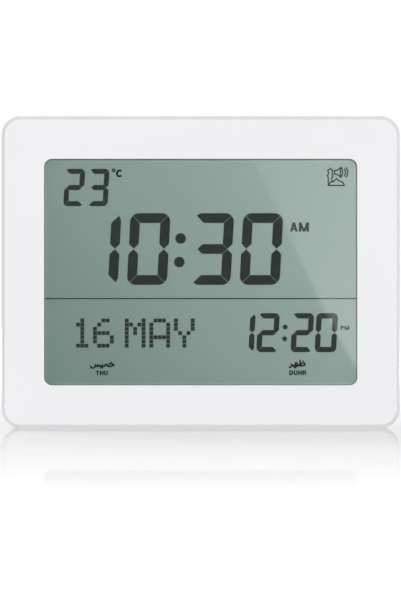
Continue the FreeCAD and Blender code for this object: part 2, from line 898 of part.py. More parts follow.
def dateDots():
    months = [dim.monthStart + dim.monthPitch * i for i in range(3)]
    lefts = [dim.dayTens, dim.dayOnes, *months]
    pitch, size = dim.dotPitch.value, dim.dotSize.value
    top = windowTop.value - dim.dateDrop.value
    solids = []
    for character, left in zip("16MAY", lefts):
        for row, pattern in enumerate(dotRows[character]):
            for column, mark in enumerate(pattern):
                if mark == "X":
                    x = left.value + column * pitch
                    corner = Vector(x, segmentY.value, top - row * pitch - size)
                    solids.append(Part.makeBox(size, dim.segmentThickness.value, size, corner))
    feature = doc.addObject("Part::Feature", "date_dots")
    feature.Shape = Part.makeCompound(solids)
    return feature


def readouts():
    timeLefts = [dim.timeTens, dim.timeTens + dim.timePitch, dim.minuteTens, dim.minuteTens + dim.timePitch]
    prayerLefts = [
        dim.prayerTens,
        dim.prayerTens + dim.prayerPitch,
        dim.prayerMinuteTens,
        dim.prayerMinuteTens + dim.prayerPitch,
    ]
    degreeLefts = [dim.degreeTens, dim.degreeTens + dim.degreePitch]
    dividerZ = windowTop - dim.dividerDrop
    divider = blockAt("divider_line", 0, dividerZ, windowWidth, dim.dividerThickness, segmentY, rearGlassY)
    return [
        readout("time_digits", "time", "1030", timeLefts, colon("time")),
        readout("prayer_time_digits", "prayer", "1220", prayerLefts, colon("prayer")),
        readout("temperature_digits", "degree", "23", degreeLefts),
        dateDots(),
        divider,
    ]


# ---------------------------------------------------------------- fasteners
def screw(name, x, z, headY, pointsForward, head, headHeight, shank, length):
    # headY is the seat under the head; a screw whose point is towards -Y is driven from the back
    way = -1 if pointsForward else 1
    tipY = headY + length * way
    topY = headY - headHeight * way
    shankLow, headLow = (tipY, headY) if pointsForward else (headY, topY)
    shaft = rod(f"{name}_shaft", "y", shank, (x, shankLow, z), length)
    cap = rod(f"{name}_cap", "y", head, (x, headLow, z), headHeight)
    slots = []
    slotLow = topY - dim.crossDepth if pointsForward else topY
    for i, (width, height) in enumerate([(head * 1.2, dim.crossWidth), (dim.crossWidth, head * 1.2)]):
        slots.append(blockAt(f"{name}_slot{i}", x, z, width, height, slotLow, slotLow + dim.crossDepth))
    return cut(name, fuse(f"{name}_blank", shaft, cap), *slots)


def smallScrews(label, places, headY, pointsForward=True):
    head, height, shank = dim.smallHeadRadius, dim.smallHeadHeight, dim.smallShankRadius
    length = dim.smallScrewLength
    screws = []
    for i, (x, z) in enumerate(places, start=1):
        screws.append(screw(f"{label}_{i}", x, z, headY, pointsForward, head, height, shank, length))
    return group(label, screws)


# ---------------------------------------------------------------- backlight, holder and main board
def backlight():
    low = (-holderInnerWidth / 2, guideY, frontGlassLow)
    stripEnd = low[0] + dim.ledStripThickness
    top = frontGlassLow + frontGlassHeight
    strip = box("backlight_led_strip", low, (stripEnd, holderFloorY, top))
    leds = []
    for i in range(int(dim.ledCount.value)):
        z = middleZ + dim.ledSpacing * (i - (dim.ledCount.value - 1) / 2)
        ledLow = (stripEnd, guideY + dim.fitGap, z - dim.ledSize)
        ledHigh = (stripEnd + dim.ledSize, holderFloorY - dim.fitGap, z + dim.ledSize)
        leds.append(box(f"led_{i + 1}", ledLow, ledHigh))
    guideLow = (stripEnd + dim.ledSize + dim.fitGap, guideY, middleZ - rearGlassHeight / 2)
    guideHigh = (glassWidth / 2, holderFloorY, middleZ + rearGlassHeight / 2)
    return [strip, group("backlight_leds", leds), box("light_guide", guideLow, guideHigh)]


def lcdHolder():
    # A tray that holds the glass against the front frame and carries the main board on its back
    body = newBody("lcd_holder")
    tray = rectangle(0, frontGlassZ, holderWidth, holderHeight)
    pad(body, "tray", frontWallBackY, holderBackY - frontWallBackY, [tray])
    inside = rectangle(0, frontGlassZ, holderInnerWidth, holderInnerHeight)
    pocket(body, "inside", frontWallBackY, holderFloorY - frontWallBackY, [inside], forward=True)
    ears = [rectangle(x, z, dim.earWidth, dim.earHeight) for x, z in earPlaces]
    pad(body, "ears", holderBackY - dim.earThickness, dim.earThickness, ears)
    earHole = dim.smallShankRadius + dim.screwHoleGap
    pocket(body, "earHoles", holderBackY, dim.earThickness, [circle(x, z, earHole) for x, z in earPlaces])
    bosses = [circle(x, z, dim.boardBossRadius) for x, z in boardScrewPlaces]
    pad(body, "boardBosses", holderBackY, dim.boardStandoff, bosses)
    pilots = [circle(x, z, dim.smallShankRadius + dim.pilotGap) for x, z in boardScrewPlaces]
    pocket(body, "boardPilots", boardY, dim.boardStandoff + dim.holderFloor * 0.6, pilots)
    slotWidth = glassWidth - dim.zebraInset * 2 + dim.fitGap * 2
    slot = rectangle(0, zebraZ, slotWidth, dim.zebraThickness + dim.fitGap * 2)
    pocket(body, "zebraSlot", holderBackY, dim.holderFloor, [slot])
    return body


def onMainBoard(name, x, z, width, height, thickness):
    return blockAt(name, x, z, width, height, boardBackY, boardBackY + thickness)


def mainBoard():
    halfBoard = mainBoardWidth / 2
    boardZ = mainBoardZ
    board = newBody("main_board")
    outline = rounded(0, boardZ, mainBoardWidth, dim.mainBoardHeight, dim.boardEdge / 4)
    pad(board, "outline", boardY, dim.boardThickness, [outline])
    hole = dim.smallShankRadius + dim.screwHoleGap
    holes = [circle(x, z, hole) for x, z in boardScrewPlaces]
    pocket(board, "holes", boardBackY, dim.boardThickness, holes)

    zebraWidth = glassWidth - dim.zebraInset * 2
    zebra = blockAt("zebra_strip", 0, zebraZ, zebraWidth, dim.zebraThickness, frontGlassBackY, boardY)

    blobTop = boardBackY + dim.blobHeight
    blobProfile = [
        (0, boardBackY),
        (dim.blobRadius, boardBackY),
        (dim.blobRadius * 0.85, boardBackY + dim.blobHeight * 0.55),
        (dim.blobRadius * 0.5, boardBackY + dim.blobHeight * 0.9),
        (0, blobTop),
    ]
    blob = turned("controller_blob", blobProfile, dim.blobX, boardZ)

    chipX = dim.chipInset - halfBoard
    chip = onMainBoard("sound_chip", chipX, boardZ, dim.chipWidth, dim.chipHeight, dim.chipThickness)
    legs = []
    for i in range(8):
        x = chipX + dim.chipWidth * ((i % 4 - 1.5) / 4.5)
        side = 1 if i < 4 else -1
        z = boardZ + (dim.chipHeight / 2 + 0.5) * side
        legs.append(onMainBoard(f"chip_leg_{i + 1}", x, z, 0.5, 1, 0.25))

    crystalY = boardBackY + dim.crystalRadius
    crystalStart = (dim.crystalX, crystalY, boardZ)
    crystal = rod("quartz_crystal", "x", dim.crystalRadius, crystalStart, dim.crystalLength)

    capacitors = []
    for i in range(2):
        x = dim.capacitorInset - halfBoard + dim.capacitorPitch * i
        start = (x, boardBackY, boardZ)
        capacitors.append(rod(f"capacitor_{i + 1}", "y", dim.capacitorRadius, start, dim.capacitorHeight))

    connectors = []
    for name, x in (("battery", batteryWireX), ("speaker", speakerWireX)):
        width, height, thickness = dim.connectorWidth, dim.connectorHeight, dim.connectorThickness
        connectors.append(onMainBoard(f"{name}_connector", x, connectorZ, width, height, thickness))
    return [
        board,
        zebra,
        blob,
        chip,
        group("chip_legs", legs),
        crystal,
        group("capacitors", capacitors),
        group("board_connectors", connectors),
    ]


connectorZ = dim.mainBoardBase + dim.mainBoardHeight - dim.connectorHeight
batteryWireX = dim.batteryX - dim.cellRadius * 2
speakerWireX = dim.speakerX + dim.terminalOffset
sensorX = mainBoardWidth / 2 - dim.sensorInset


def temperatureSensor():
    # A thermistor bead on two leads, close behind the air vents
    beadY = boardBackY + dim.sensorReach
    centre = (sensorX, beadY, sensorZ)
    bead = rod("sensor_bead", "y", dim.sensorRadius, centre, dim.sensorRadius * 2)
    leads = []
    for i, side in enumerate((-1, 1)):
        start = (sensorX + dim.sensorLeadGap * side, boardBackY, sensorZ)
        leads.append(rod(f"sensor_lead_{i + 1}", "y", dim.sensorLeadRadius, start, dim.sensorReach))
    return fuse("temperature_sensor", bead, *leads)


sensorZ = dim.ventBase + dim.ventHeight / 2


# ---------------------------------------------------------------- rear cover
tubInnerWidth = dim.cellLength + dim.nubLength + dim.springLength + dim.contactThickness * 2 + dim.fitGap
tubInnerHeight = dim.cellSpacing + dim.cellRadius * 2 + dim.cellGapAround * 2
tubFloorY = backY - dim.doorThickness - dim.cellGapAround * 2 - dim.cellRadius * 2
cellY = tubFloorY + dim.cellGapAround + dim.cellRadius
doorInnerY = backY - dim.doorThickness
seatWidth = tubInnerWidth + dim.doorLedge * 2
seatHeight = tubInnerHeight + dim.doorLedge * 2
seatLow = batteryZ - seatHeight / 2
seatHigh = batteryZ + seatHeight / 2
ledgeY = doorInnerY - dim.fitGap
doorLow = seatLow + dim.doorGap
doorHigh = seatHigh - dim.doorGap
tabPlaces = [dim.batteryX + dim.doorTabSpacing / 2 * side for side in (-1, 1)]
tabY = ledgeY - dim.fitGap * 2 - dim.doorTabThickness

panelY = backY - dim.panelDepth
panelInnerY = panelY - dim.panelWall
keyFlangeY = panelInnerY - dim.flangeGap
stemY = keyFlangeY - dim.flangeThickness
switchY = stemY - dim.stemShow
stemLowY = switchY - dim.stemDepth
keyBoardBackY = switchY - dim.switchHeight
keyBoardY = keyBoardBackY - dim.boardThickness

legOuterY = backY - dim.legSink
legInnerY = legOuterY - dim.legThickness
legAxisY = legInnerY + dim.legThickness / 2
recessY = legInnerY - dim.legGap
recessWidth = dim.legWidth + dim.legSideGap * 2
opening = math.radians(dim.legOpening.value)
# The heel's inner corner swings in until it meets the floor of this deeper pocket
heelDepth = dim.legThickness / 2 * math.cos(opening) + dim.legHeel * math.sin(opening)
heelFloorY = legAxisY - heelDepth - dim.boreGap
recessTop = hingeZ + dim.legHeel + dim.legThickness / 4
hookZ = dim.caseHeight - dim.hookDrop


def keyPlaces():
    columns = [dim.keyColumnPitch * side for side in (-1, 0, 1)]
    top = panelZ + dim.keyRowRise
    return [(x, z) for z in (top, top - dim.keyRowPitch) for x in columns]


slideRestX = -dim.slideTravel / 2
slideZ = panelZ - dim.slideDrop


def rearShell():
    body = newBody("rear_cover")
    outline = rounded(0, middleZ, dim.caseWidth, dim.caseHeight, dim.cornerRadius)
    pad(body, "outline", partingY, backY - partingY, [outline])
    dress(body, "Fillet", "rearRound", dim.rearRound, edgesWhere(body, atLevel(backY)))
    dress(body, "Chamfer", "parting", dim.partingBevel, edgesWhere(body, atLevel(partingY)))
    cavity = rounded(0, middleZ, innerWidth, innerHeight, innerRadius)
    pocket(body, "cavity", partingY, wallInnerY - partingY, [cavity], forward=True)
    tongueStep = dim.sideWall - dim.tongueWall
    tongue = rounded(
        0,
        middleZ,
        dim.caseWidth - tongueStep * 2,
        dim.caseHeight - tongueStep * 2,
        dim.cornerRadius - tongueStep,
    )
    pad(body, "tongue", partingY - dim.tongueHeight, dim.tongueHeight, [tongue, cavity])
    return body


def addScrewPosts(body):
    posts = [circle(x, z, dim.casePostRadius) for x, z in caseScrewPlaces]
    pad(body, "casePosts", partingY, wallInnerY - partingY, posts)
    sinks = [circle(x, z, dim.screwHeadRadius + dim.screwHoleGap) for x, z in caseScrewPlaces]
    pocket(body, "screwSinks", backY, dim.caseScrewSink, sinks)
    holes = [circle(x, z, dim.screwShankRadius + dim.screwHoleGap) for x, z in caseScrewPlaces]
    pocket(body, "screwHoles", backY, backY - partingY, holes)


def addBatteryTub(body):
    wall = dim.tubWall
    tub = rectangle(dim.batteryX, batteryZ, tubInnerWidth + wall * 2, tubInnerHeight + wall * 2)
    floorY = tubFloorY - dim.tubFloor
    pad(body, "batteryTub", floorY, wallInnerY - floorY, [tub])
    inside = rectangle(dim.batteryX, batteryZ, tubInnerWidth, tubInnerHeight)
    pocket(body, "batteryRoom", backY, backY - tubFloorY, [inside])
    seat = rounded(dim.batteryX, batteryZ, seatWidth, seatHeight, dim.doorCorner)
    pocket(body, "doorSeat", backY, backY - ledgeY, [seat])
    notchZ = seatHigh + dim.latchReach / 2
    notch = rectangle(dim.batteryX, notchZ, dim.latchWidth + dim.doorGap * 2, dim.latchReach)
    pocket(body, "latchNotch", backY, backY - ledgeY, [notch])
    slotY = tabY - dim.doorTabThickness / 2 - dim.fitGap
    slots = [
        rectangle(x, seatLow, dim.doorTabWidth + dim.doorGap * 2, dim.doorLedge * 2 + wall * 2)
        for x in tabPlaces
    ]
    pocket(body, "tabSlots", ledgeY, ledgeY - slotY, slots)


def addKeyPanel(body):
    outline = (0, panelZ, dim.panelWidth, dim.panelHeight)
    wall = dim.tubWall
    backing = rectangle(0, panelZ, dim.panelWidth + wall * 2, dim.panelHeight + wall * 2)
    pad(body, "panelBacking", panelInnerY, wallInnerY - panelInnerY, [backing])
    pocket(body, "keyPanel", backY, dim.panelDepth, [rounded(*outline, dim.panelCorner)])
    gap = dim.keyGap * 2
    holes = [
        rounded(x, z, dim.keyWidth + gap, dim.keyHeight + gap, dim.keyCorner + dim.keyGap)
        for x, z in keyPlaces()
    ]
    pocket(body, "keyHoles", panelY, dim.panelWall, holes)
    slotWidth = dim.slideCapWidth + dim.slideTravel + gap
    slot = rectangle(0, slideZ, slotWidth, dim.slideCapHeight + gap)
    pocket(body, "slideSlot", panelY, dim.panelWall, [slot])
    posts = [circle(x, z, dim.postRadius) for x, z in keyBoardScrewPlaces]
    pad(body, "keyBoardPosts", keyBoardBackY, panelInnerY - keyBoardBackY, posts)
    pilots = [circle(x, z, dim.smallShankRadius + dim.pilotGap) for x, z in keyBoardScrewPlaces]
    pocket(body, "keyBoardPilots", keyBoardBackY, dim.smallScrewLength, pilots, forward=True)


def addSpeakerSeat(body):
    x, z = dim.speakerX, speakerZ
    inner = dim.speakerRadius + dim.fitGap
    ring = [circle(x, z, inner + dim.ringRibWall), circle(x, z, inner)]
    pad(body, "speakerRib", clampY, wallInnerY - clampY, ring)
    posts = [circle(px, pz, dim.postRadius) for px, pz in clampPlaces()]
    pad(body, "clampPosts", clampY, wallInnerY - clampY, posts)
    pilots = [circle(px, pz, dim.smallShankRadius + dim.pilotGap) for px, pz in clampPlaces()]
    pocket(body, "clampPilots", clampY, dim.smallScrewLength - dim.clampThickness, pilots, forward=True)
    holes = [circle(x, z, dim.grilleHoleRadius)]
    for turn in range(1, int(dim.grilleRings.value) + 1):
        radius = dim.grilleRingPitch * turn
        for i in range(6 * turn):
            angle = 2 * math.pi * i / (6 * turn)
            holeX, holeZ = x + radius * math.cos(angle), z + radius * math.sin(angle)
            holes.append(circle(holeX, holeZ, dim.grilleHoleRadius))
    pocket(body, "grille", backY, dim.rearWall, holes)


def clampPlaces():
    reach = dim.speakerRadius + dim.fitGap + dim.ringRibWall + dim.postRadius - dim.ringRibOverlap
    angles = [math.radians(angle) for angle in (30, 150, 270)]
    return [(dim.speakerX + reach * math.cos(a), speakerZ + reach * math.sin(a)) for a in angles]


# The clamps hold the flange of the basket level with the rib round it
flangeBackY = wallInnerY - dim.gasketThickness
flangeY = flangeBackY - dim.flangeSheet
clampY = flangeY


def addLegRecess(body):
    wall = dim.hingeWall
    top = recessTop + dim.tubWall
    innerLow = dim.sideWall
    half = recessWidth / 2
    side = half + wall
    blockShape = polygon([(-side, innerLow), (side, innerLow), (side, top), (-side, top)])
    floorY = heelFloorY - dim.tubWall
    pad(body, "recessBlock", floorY, wallInnerY - floorY, [blockShape])
    recess = polygon([(-half, -1), (half, -1), (half, recessTop), (-half, recessTop)])
    pocket(body, "recess", backY, backY - recessY, [recess])
    heelLow = hingeZ - dim.legThickness / 2
    heel = polygon([(-half, heelLow), (half, heelLow), (half, recessTop), (-half, recessTop)])
    pocket(body, "heelPocket", backY, backY - heelFloorY, [heel])
    bore = circle(legAxisY, hingeZ, dim.hingePinRadius + dim.hingeGap)
    reach = dim.legWidth / 2 + dim.hingePinLength + dim.fitGap
    pocket(body, "hingeBores", 0, reach * 2, [bore], role="YZ_Plane", both=True)


def addWallHooks(body):
    # Keyholes: a screw head goes in at the round end and the case drops onto its shank
    entries, slots = [], []
    for side in (-1, 1):
        x = dim.hookSpacing / 2 * side
        entries.append(circle(x, hookZ, dim.hookEntryRadius))
        slotZ = hookZ + dim.hookSlotRise / 2
        height = dim.hookSlotRise + dim.hookSlotRadius * 2
        slots.append(rounded(x, slotZ, dim.hookSlotRadius * 2, height, dim.hookSlotRadius * 0.98))
    pocket(body, "hookEntries", backY, dim.rearWall, entries)
    pocket(body, "hookSlots", backY, dim.rearWall, slots)


def addVents(body):
    count = int(dim.ventCount.value)
    slots = []
    for i in range(count):
        x = sensorX + dim.ventPitch * (i - (count - 1) / 2)
        slots.append(rounded(x, sensorZ, dim.ventWidth, dim.ventHeight, dim.ventWidth * 0.49))
    pocket(body, "vents", backY, dim.rearWall, slots)


def rearCover():
    body = rearShell()
    addScrewPosts(body)
    addBatteryTub(body)
    addKeyPanel(body)
    addLegRecess(body)
    addWallHooks(body)
    addVents(body)
    addSpeakerSeat(body)
    return body


# ---------------------------------------------------------------- keys and their board
keyNames = ["mode_key", "set_key", "city_key", "up_key", "down_key", "light_key"]


def key(name, x, z):
    body = newBody(name)
    cap = rounded(x, z, dim.keyWidth, dim.keyHeight, dim.keyCorner)
    pad(body, "cap", keyFlangeY, panelY + dim.keyProud - keyFlangeY, [cap])
    dress(body, "Fillet", "round", dim.keyRound, edgesWhere(body, atLevel(panelY + dim.keyProud)))
    margin = dim.keyFlange * 2
    flange = rounded(x, z, dim.keyWidth + margin, dim.keyHeight + margin, dim.keyCorner)
    pad(body, "flange", stemY, dim.flangeThickness, [flange])
    pad(body, "stem", stemLowY, stemY - stemLowY, [circle(x, z, dim.stemRadius)])
    return body


def keys():
    pieces, switches = [], []
    bore = dim.stemRadius + dim.boreGap
    for name, (x, z) in zip(keyNames, keyPlaces()):
        pieces.append(key(name, x, z))
        block = blockAt(f"{name}_block", x, z, dim.switchSize, dim.switchSize, keyBoardBackY, switchY)
        boreLow = stemLowY - dim.keyTravel - dim.fitGap
        hole = rod(f"{name}_bore", "y", bore, (x, boreLow, z), dim.switchHeight)
        switches.append(cut(f"{name}_switch", block, hole))
    return [*pieces, group("tact_switches", switches)]


def keyBoard():
    board = newBody("key_board")
    outline = rounded(0, panelZ, dim.keyBoardWidth, dim.keyBoardHeight, dim.boardEdge / 4)
    pad(board, "outline", keyBoardY, dim.boardThickness, [outline])
    hole = dim.smallShankRadius + dim.screwHoleGap
    holes = [circle(x, z, hole) for x, z in keyBoardScrewPlaces]
    pocket(board, "holes", keyBoardBackY, dim.boardThickness, holes)
    return board


def slideSwitch():
    # The foot of the knob runs in a slot in the switch and its cap in a slot in the key panel
    case = newBody("slide_switch")
    outline = rectangle(0, slideZ, dim.slideBodyWidth, dim.slideBodyHeight)
    pad(case, "outline", keyBoardBackY, dim.slideBodyDepth, [outline])
    caseBackY = keyBoardBackY + dim.slideBodyDepth
    slotWidth = dim.slideFootWidth + dim.slideTravel + dim.fitGap * 2
    slot = rectangle(0, slideZ, slotWidth, dim.slideFootHeight + dim.fitGap * 2)
    pocket(case, "slot", caseBackY, dim.slideSlotDepth, [slot])

    knob = newBody("slide_knob")
    capY = caseBackY + dim.fitGap
    topY = backY - dim.slideSink
    cap = rectangle(slideRestX, slideZ, dim.slideCapWidth, dim.slideCapHeight)
    pad(knob, "cap", capY, topY - capY, [cap])
    dress(knob, "Fillet", "round", dim.slideRound, edgesWhere(knob, atLevel(topY)))
    foot = rectangle(slideRestX, slideZ, dim.slideFootWidth, dim.slideFootHeight)
    footY = caseBackY - dim.slideSlotDepth + dim.fitGap
    pad(knob, "foot", footY, capY - footY, [foot])
    return [case, knob]


# ---------------------------------------------------------------- speaker
def speaker():
    x, z = dim.speakerX, speakerZ
    outer = dim.speakerRadius
    hole = outer - dim.speakerFlange
    gasket = newBody("speaker_gasket")
    gasketRing = [circle(x, z, outer), circle(x, z, hole + dim.speakerFlange / 3)]
    pad(gasket, "ring", flangeBackY, dim.gasketThickness, gasketRing)

    floorY = flangeY - dim.basketDepth
    magnetTop = dim.magnetRadius + dim.basketSheet * 2
    sheet = dim.basketSheet
    basketProfile = [
        (0, floorY),
        (magnetTop, floorY),
        (hole + sheet, flangeY),
        (outer, flangeY),
        (outer, flangeBackY),
        (hole, flangeBackY),
        (hole, flangeY + sheet / 2),
        (magnetTop - sheet / 2, floorY + sheet),
        (0, floorY + sheet),
    ]
    basket = turned("speaker_basket", basketProfile, x, z)

    paper = dim.coneSheet
    coilY = flangeBackY - dim.coneDepth
    rim = hole + dim.speakerFlange / 3 - dim.fitGap * 2
    inner = hole - dim.coneRim / 2
    dome = dim.domeRadius
    coneProfile = [
        (rim, flangeBackY),
        (inner, flangeBackY),
        (dome, coilY),
        (dome - paper, coilY),
        (dome * 0.64, coilY + paper * 2),
        (0, coilY + paper * 3),
        (0, coilY + paper * 4),
        (dome * 0.7, coilY + paper * 3),
        (dome, coilY + paper),
        (inner - paper, flangeBackY + paper),
        (rim, flangeBackY + paper),
    ]
    cone = turned("speaker_cone", coneProfile, x, z)

    magnet = rod("speaker_magnet", "y", dim.magnetRadius, (x, floorY - dim.magnetDepth, z), dim.magnetDepth)

    terminals = blockAt(
        "speaker_terminals",
        speakerWireX,
        terminalLow + dim.terminalHeight / 2,
        dim.terminalWidth,
        dim.terminalHeight,
        flangeY - dim.flangeSheet,
        flangeY,
    )

    clamps = []
    for i, (px, pz) in enumerate(clampPlaces(), start=1):
        low = (px, clampY - dim.clampThickness, pz)
        disc = rod(f"clamp_{i}_disc", "y", dim.clampRadius, low, dim.clampThickness)
        bore = rod(f"clamp_{i}_bore", "y", dim.smallShankRadius + dim.screwHoleGap, low, dim.clampThickness)
        clamps.append(cut(f"clamp_{i}", disc, bore))
    return [gasket, basket, cone, magnet, terminals, group("speaker_clamps", clamps)]


terminalLow = speakerZ - dim.speakerRadius + dim.ringRibWall


# ---------------------------------------------------------------- batteries and their door
tubLeft = dim.batteryX - tubInnerWidth / 2
tubRight = dim.batteryX + tubInnerWidth / 2


def batteries():
    pieces, springs = [], []
    plate = dim.contactThickness
    for name, side in (("upper", 1), ("lower", -1)):
        # The upper cell's nub points to +X and the lower cell's to -X
        z = batteryZ + dim.cellSpacing / 2 * side
        nubEnd = (tubRight - plate) if side == 1 else (tubLeft + plate)
        nubStart = nubEnd - dim.nubLength * side
        canEnd = nubStart - dim.cellLength * side
        canStart = (nubStart if side == -1 else canEnd, cellY, z)
        can = rod(f"{name}_can", "x", dim.cellRadius, canStart, dim.cellLength)
        nubLow = nubStart if side == 1 else nubEnd
        nub = rod(f"{name}_nub", "x", dim.nubRadius, (nubLow, cellY, z), dim.nubLength)
        pieces.append(fuse(f"battery_{name}", can, nub))
        springX = tubLeft + plate if side == 1 else tubRight - plate
        springs.append(spring(f"{name}_spring", springX, z, side))

    size = dim.contactSize
    low, high = batteryZ - dim.cellSpacing / 2, batteryZ + dim.cellSpacing / 2
    linkLow = (tubLeft, cellY - size / 2, low - size / 2)
    linkHigh = (tubLeft + plate, cellY + size / 2, high + size / 2)
    plates = [box("link_plate", linkLow, linkHigh)]
    for name, z in (("minus_plate", low), ("plus_plate", high)):
        start = (tubRight - plate, cellY - size / 2, z - size / 2)
        plates.append(box(name, start, (tubRight, cellY + size / 2, z + size / 2)))
    return [*pieces, group("battery_springs", springs), group("battery_contacts", plates)]


def spring(name, x, z, side):
    # The sleeve that a wire takes up, coiled on a cone that narrows away from its plate
    half = dim.springWire / 2
    sleeves = []
    for part, offset in (("outside", half), ("inside", -half)):
        cone = doc.addObject("Part::Cone", f"{name}_{part}")
        bind(cone, "Radius1", dim.springRadius + offset)
        bind(cone, "Radius2", dim.springTip + offset)
        bind(cone, "Height", dim.springLength)
        cone.Placement = FreeCAD.Placement(Vector(), Rotation(Vector(0, 1, 0), 90 * side))
        sleeves.append(place(cone, x, cellY, z))
    return cut(name, *sleeves)


def batteryDoor():
    body = newBody("battery_door")
    gap = dim.doorGap
    width, height = seatWidth - gap * 2, seatHeight - gap * 2
    outline = rounded(dim.batteryX, batteryZ, width, height, dim.doorCorner - gap)
    pad(body, "plate", doorInnerY, dim.doorThickness, [outline])
    latchHigh = seatHigh + dim.latchReach - gap
    latchLow = doorHigh - dim.latchReach
    latch = rectangle(dim.batteryX, (latchLow + latchHigh) / 2, dim.latchWidth, latchHigh - latchLow)
    pad(body, "latch", doorInnerY, dim.doorThickness, [latch])
    pitch = dim.gripGroovePitch
    grooves = [
        rectangle(
            dim.batteryX,
            latchHigh - pitch * (i + 1),
            dim.latchWidth - dim.latchReach,
            dim.gripGrooveSize,
        )
        for i in range(int(dim.gripGrooveCount.value))
    ]
    pocket(body, "gripGrooves", backY, dim.gripGrooveDepth, grooves)
    # Two hooks that reach under the rear wall: a root below the plate and a tongue at its foot
    rootLow = doorLow + dim.doorTabThickness
    rootHigh = rootLow + dim.doorLedge
    middle, height = (rootLow + rootHigh) / 2, rootHigh - rootLow
    roots = [rectangle(x, middle, dim.doorTabWidth, height) for x in tabPlaces]
    pad(body, "hookRoots", tabY, doorInnerY - tabY, roots)
    tongueLow = seatLow - dim.doorTabReach
    middle, height = (tongueLow + rootHigh) / 2, rootHigh - tongueLow
    tongues = [rectangle(x, middle, dim.doorTabWidth, height) for x in tabPlaces]
    pad(body, "hookTongues", tabY, dim.doorTabThickness, tongues)
    return body


# ---------------------------------------------------------------- stand leg
def standLeg():
    body = newBody("stand_leg")
    top = hingeZ + dim.legHeel
    half = dim.legWidth / 2
    corner = dim.legCorner
    low = dim.legTipHeight
    outline = polygon(
        [
            (corner - half, low),
            (half - corner, low),
            (half, low + corner),
            (half, top),
            (-half, top),
            (-half, low + corner),
        ]
    )
    pad(body, "plate", legInnerY, dim.legThickness, [outline])
    panel = rounded(0, dim.legPanelRise, dim.legPanelWidth, dim.legPanelHeight, dim.legCorner / 2)
    pocket(body, "panel", legOuterY, dim.legPanelDepth, [panel])
    finger = rounded(0, dim.fingerRise, dim.fingerWidth, dim.fingerHeight, dim.legCorner / 2)
    pocket(body, "fingerDish", legOuterY, dim.legThickness / 2, [finger])
    pin = circle(legAxisY, hingeZ, dim.hingePinRadius)
    pad(body, "rightPin", half, dim.hingePinLength, [pin], role="YZ_Plane")
    pad(body, "leftPin", -half, dim.hingePinLength, [pin], forward=False, role="YZ_Plane")

    padInset = dim.fitGap
    rubber = blockAt(
        "leg_pad",
        0,
        low - dim.padThickness / 2,
        dim.padWidth,
        dim.padThickness,
        legInnerY + padInset,
        legOuterY - padInset,
    )
    return [body, rubber]


# ---------------------------------------------------------------- fasteners and wires in their places
def fasteners():
    caseScrews = []
    head, height, shank = dim.screwHeadRadius, dim.screwHeadHeight, dim.screwShankRadius
    length, headY = dim.caseScrewLength, backY - dim.caseScrewSink
    for i, (x, z) in enumerate(caseScrewPlaces, start=1):
        caseScrews.append(screw(f"case_screw_{i}", x, z, headY, True, head, height, shank, length))
    speakerHeadY = clampY - dim.clampThickness
    return [
        group("case_screws", caseScrews),
        smallScrews("holder_screws", earPlaces, holderBackY),
        smallScrews("board_screws", boardScrewPlaces, boardBackY),
        smallScrews("key_board_screws", keyBoardScrewPlaces, keyBoardY, pointsForward=False),
        smallScrews("speaker_screws", clampPlaces(), speakerHeadY, pointsForward=False),
    ]


def wirePair(label, x, start, drop):
    # Two wires side by side that leave start, a pair of y and z, and end on top of a connector
    endY = boardBackY.value + dim.connectorThickness.value / 2
    endZ = connectorZ.value + dim.connectorHeight.value / 2
    startY, startZ = start[0].value, start[1].value
    corners = [(startY, startZ), (startY, startZ - drop.value), (endY, endZ + drop.value), (endY, endZ)]
    solids = []
    for side in (-1, 1):
        wireX = x.value + dim.wireRadius.value * 1.5 * side
        path, radii = roundedPath([Vector(wireX, y, z) for y, z in corners])
        wireStart = Vector(wireX, startY, startZ)
        section = Part.Wire(Part.makeCircle(dim.wireRadius.value, wireStart, Vector(0, 0, -1)))
        solids.append(path.makePipeShell([section], True, False))
    print(label, "bend radii:", [round(radius, 1) for radius in radii])
    feature = doc.addObject("Part::Feature", label)
    feature.Shape = Part.makeCompound(solids)
    return feature


def roundedPath(corners):
    # Straight runs joined by tangent arcs as large as the shorter of their two runs allows
    edges, radii = [], []
    last = corners[0]
    for before, corner, after in zip(corners, corners[1:], corners[2:]):
        reach = 0.45 * min((before - corner).Length, (after - corner).Length)
        toBefore = (before - corner).normalize()
        toAfter = (after - corner).normalize()
        halfAngle = toBefore.getAngle(toAfter) / 2
        radius = reach * math.tan(halfAngle)
        inward = (toBefore + toAfter).normalize()
        centre = corner + inward * (radius / math.sin(halfAngle))
        start, end = corner + toBefore * reach, corner + toAfter * reach
        edges.append(Part.LineSegment(last, start).toShape())
        edges.append(Part.Arc(start, centre - inward * radius, end).toShape())
        radii.append(radius)
        last = end
    edges.append(Part.LineSegment(last, corners[-1]).toShape())
    return Part.Wire(edges), radii


def keyCable():
    # A flat cable from the front of the key board to the back of the main board
    body = newBody("key_cable")
    thickness = dim.ribbonThickness
    overlap = dim.ribbonOverlap
    keyLow = panelZ - dim.keyBoardHeight / 2
    boardHigh = dim.mainBoardBase + dim.mainBoardHeight
    outline = polygon(
        [
            (keyBoardY, keyLow + overlap),
            (keyBoardY - thickness, keyLow + overlap),
            (keyBoardY - thickness, keyLow - overlap),
            (boardBackY, boardHigh + overlap),
            (boardBackY, boardHigh - overlap),
            (boardBackY + thickness, boardHigh - overlap),
            (boardBackY + thickness, boardHigh + overlap),
            (keyBoardY, keyLow - overlap),
        ]
    )
    pad(body, "ribbon", 0, dim.ribbonWidth, [outline], role="YZ_Plane", both=True)
    return body


def wires():
    batteryStart = (cellY - dim.cellRadius / 2, seatLow)
    speakerStart = (flangeY - dim.wireRadius - dim.fitGap, terminalLow)
    return [
        wirePair("battery_wires", batteryWireX, batteryStart, dim.wireDrop),
        wirePair("speaker_wires", speakerWireX, speakerStart, dim.wireDrop),
        keyCable(),
    ]


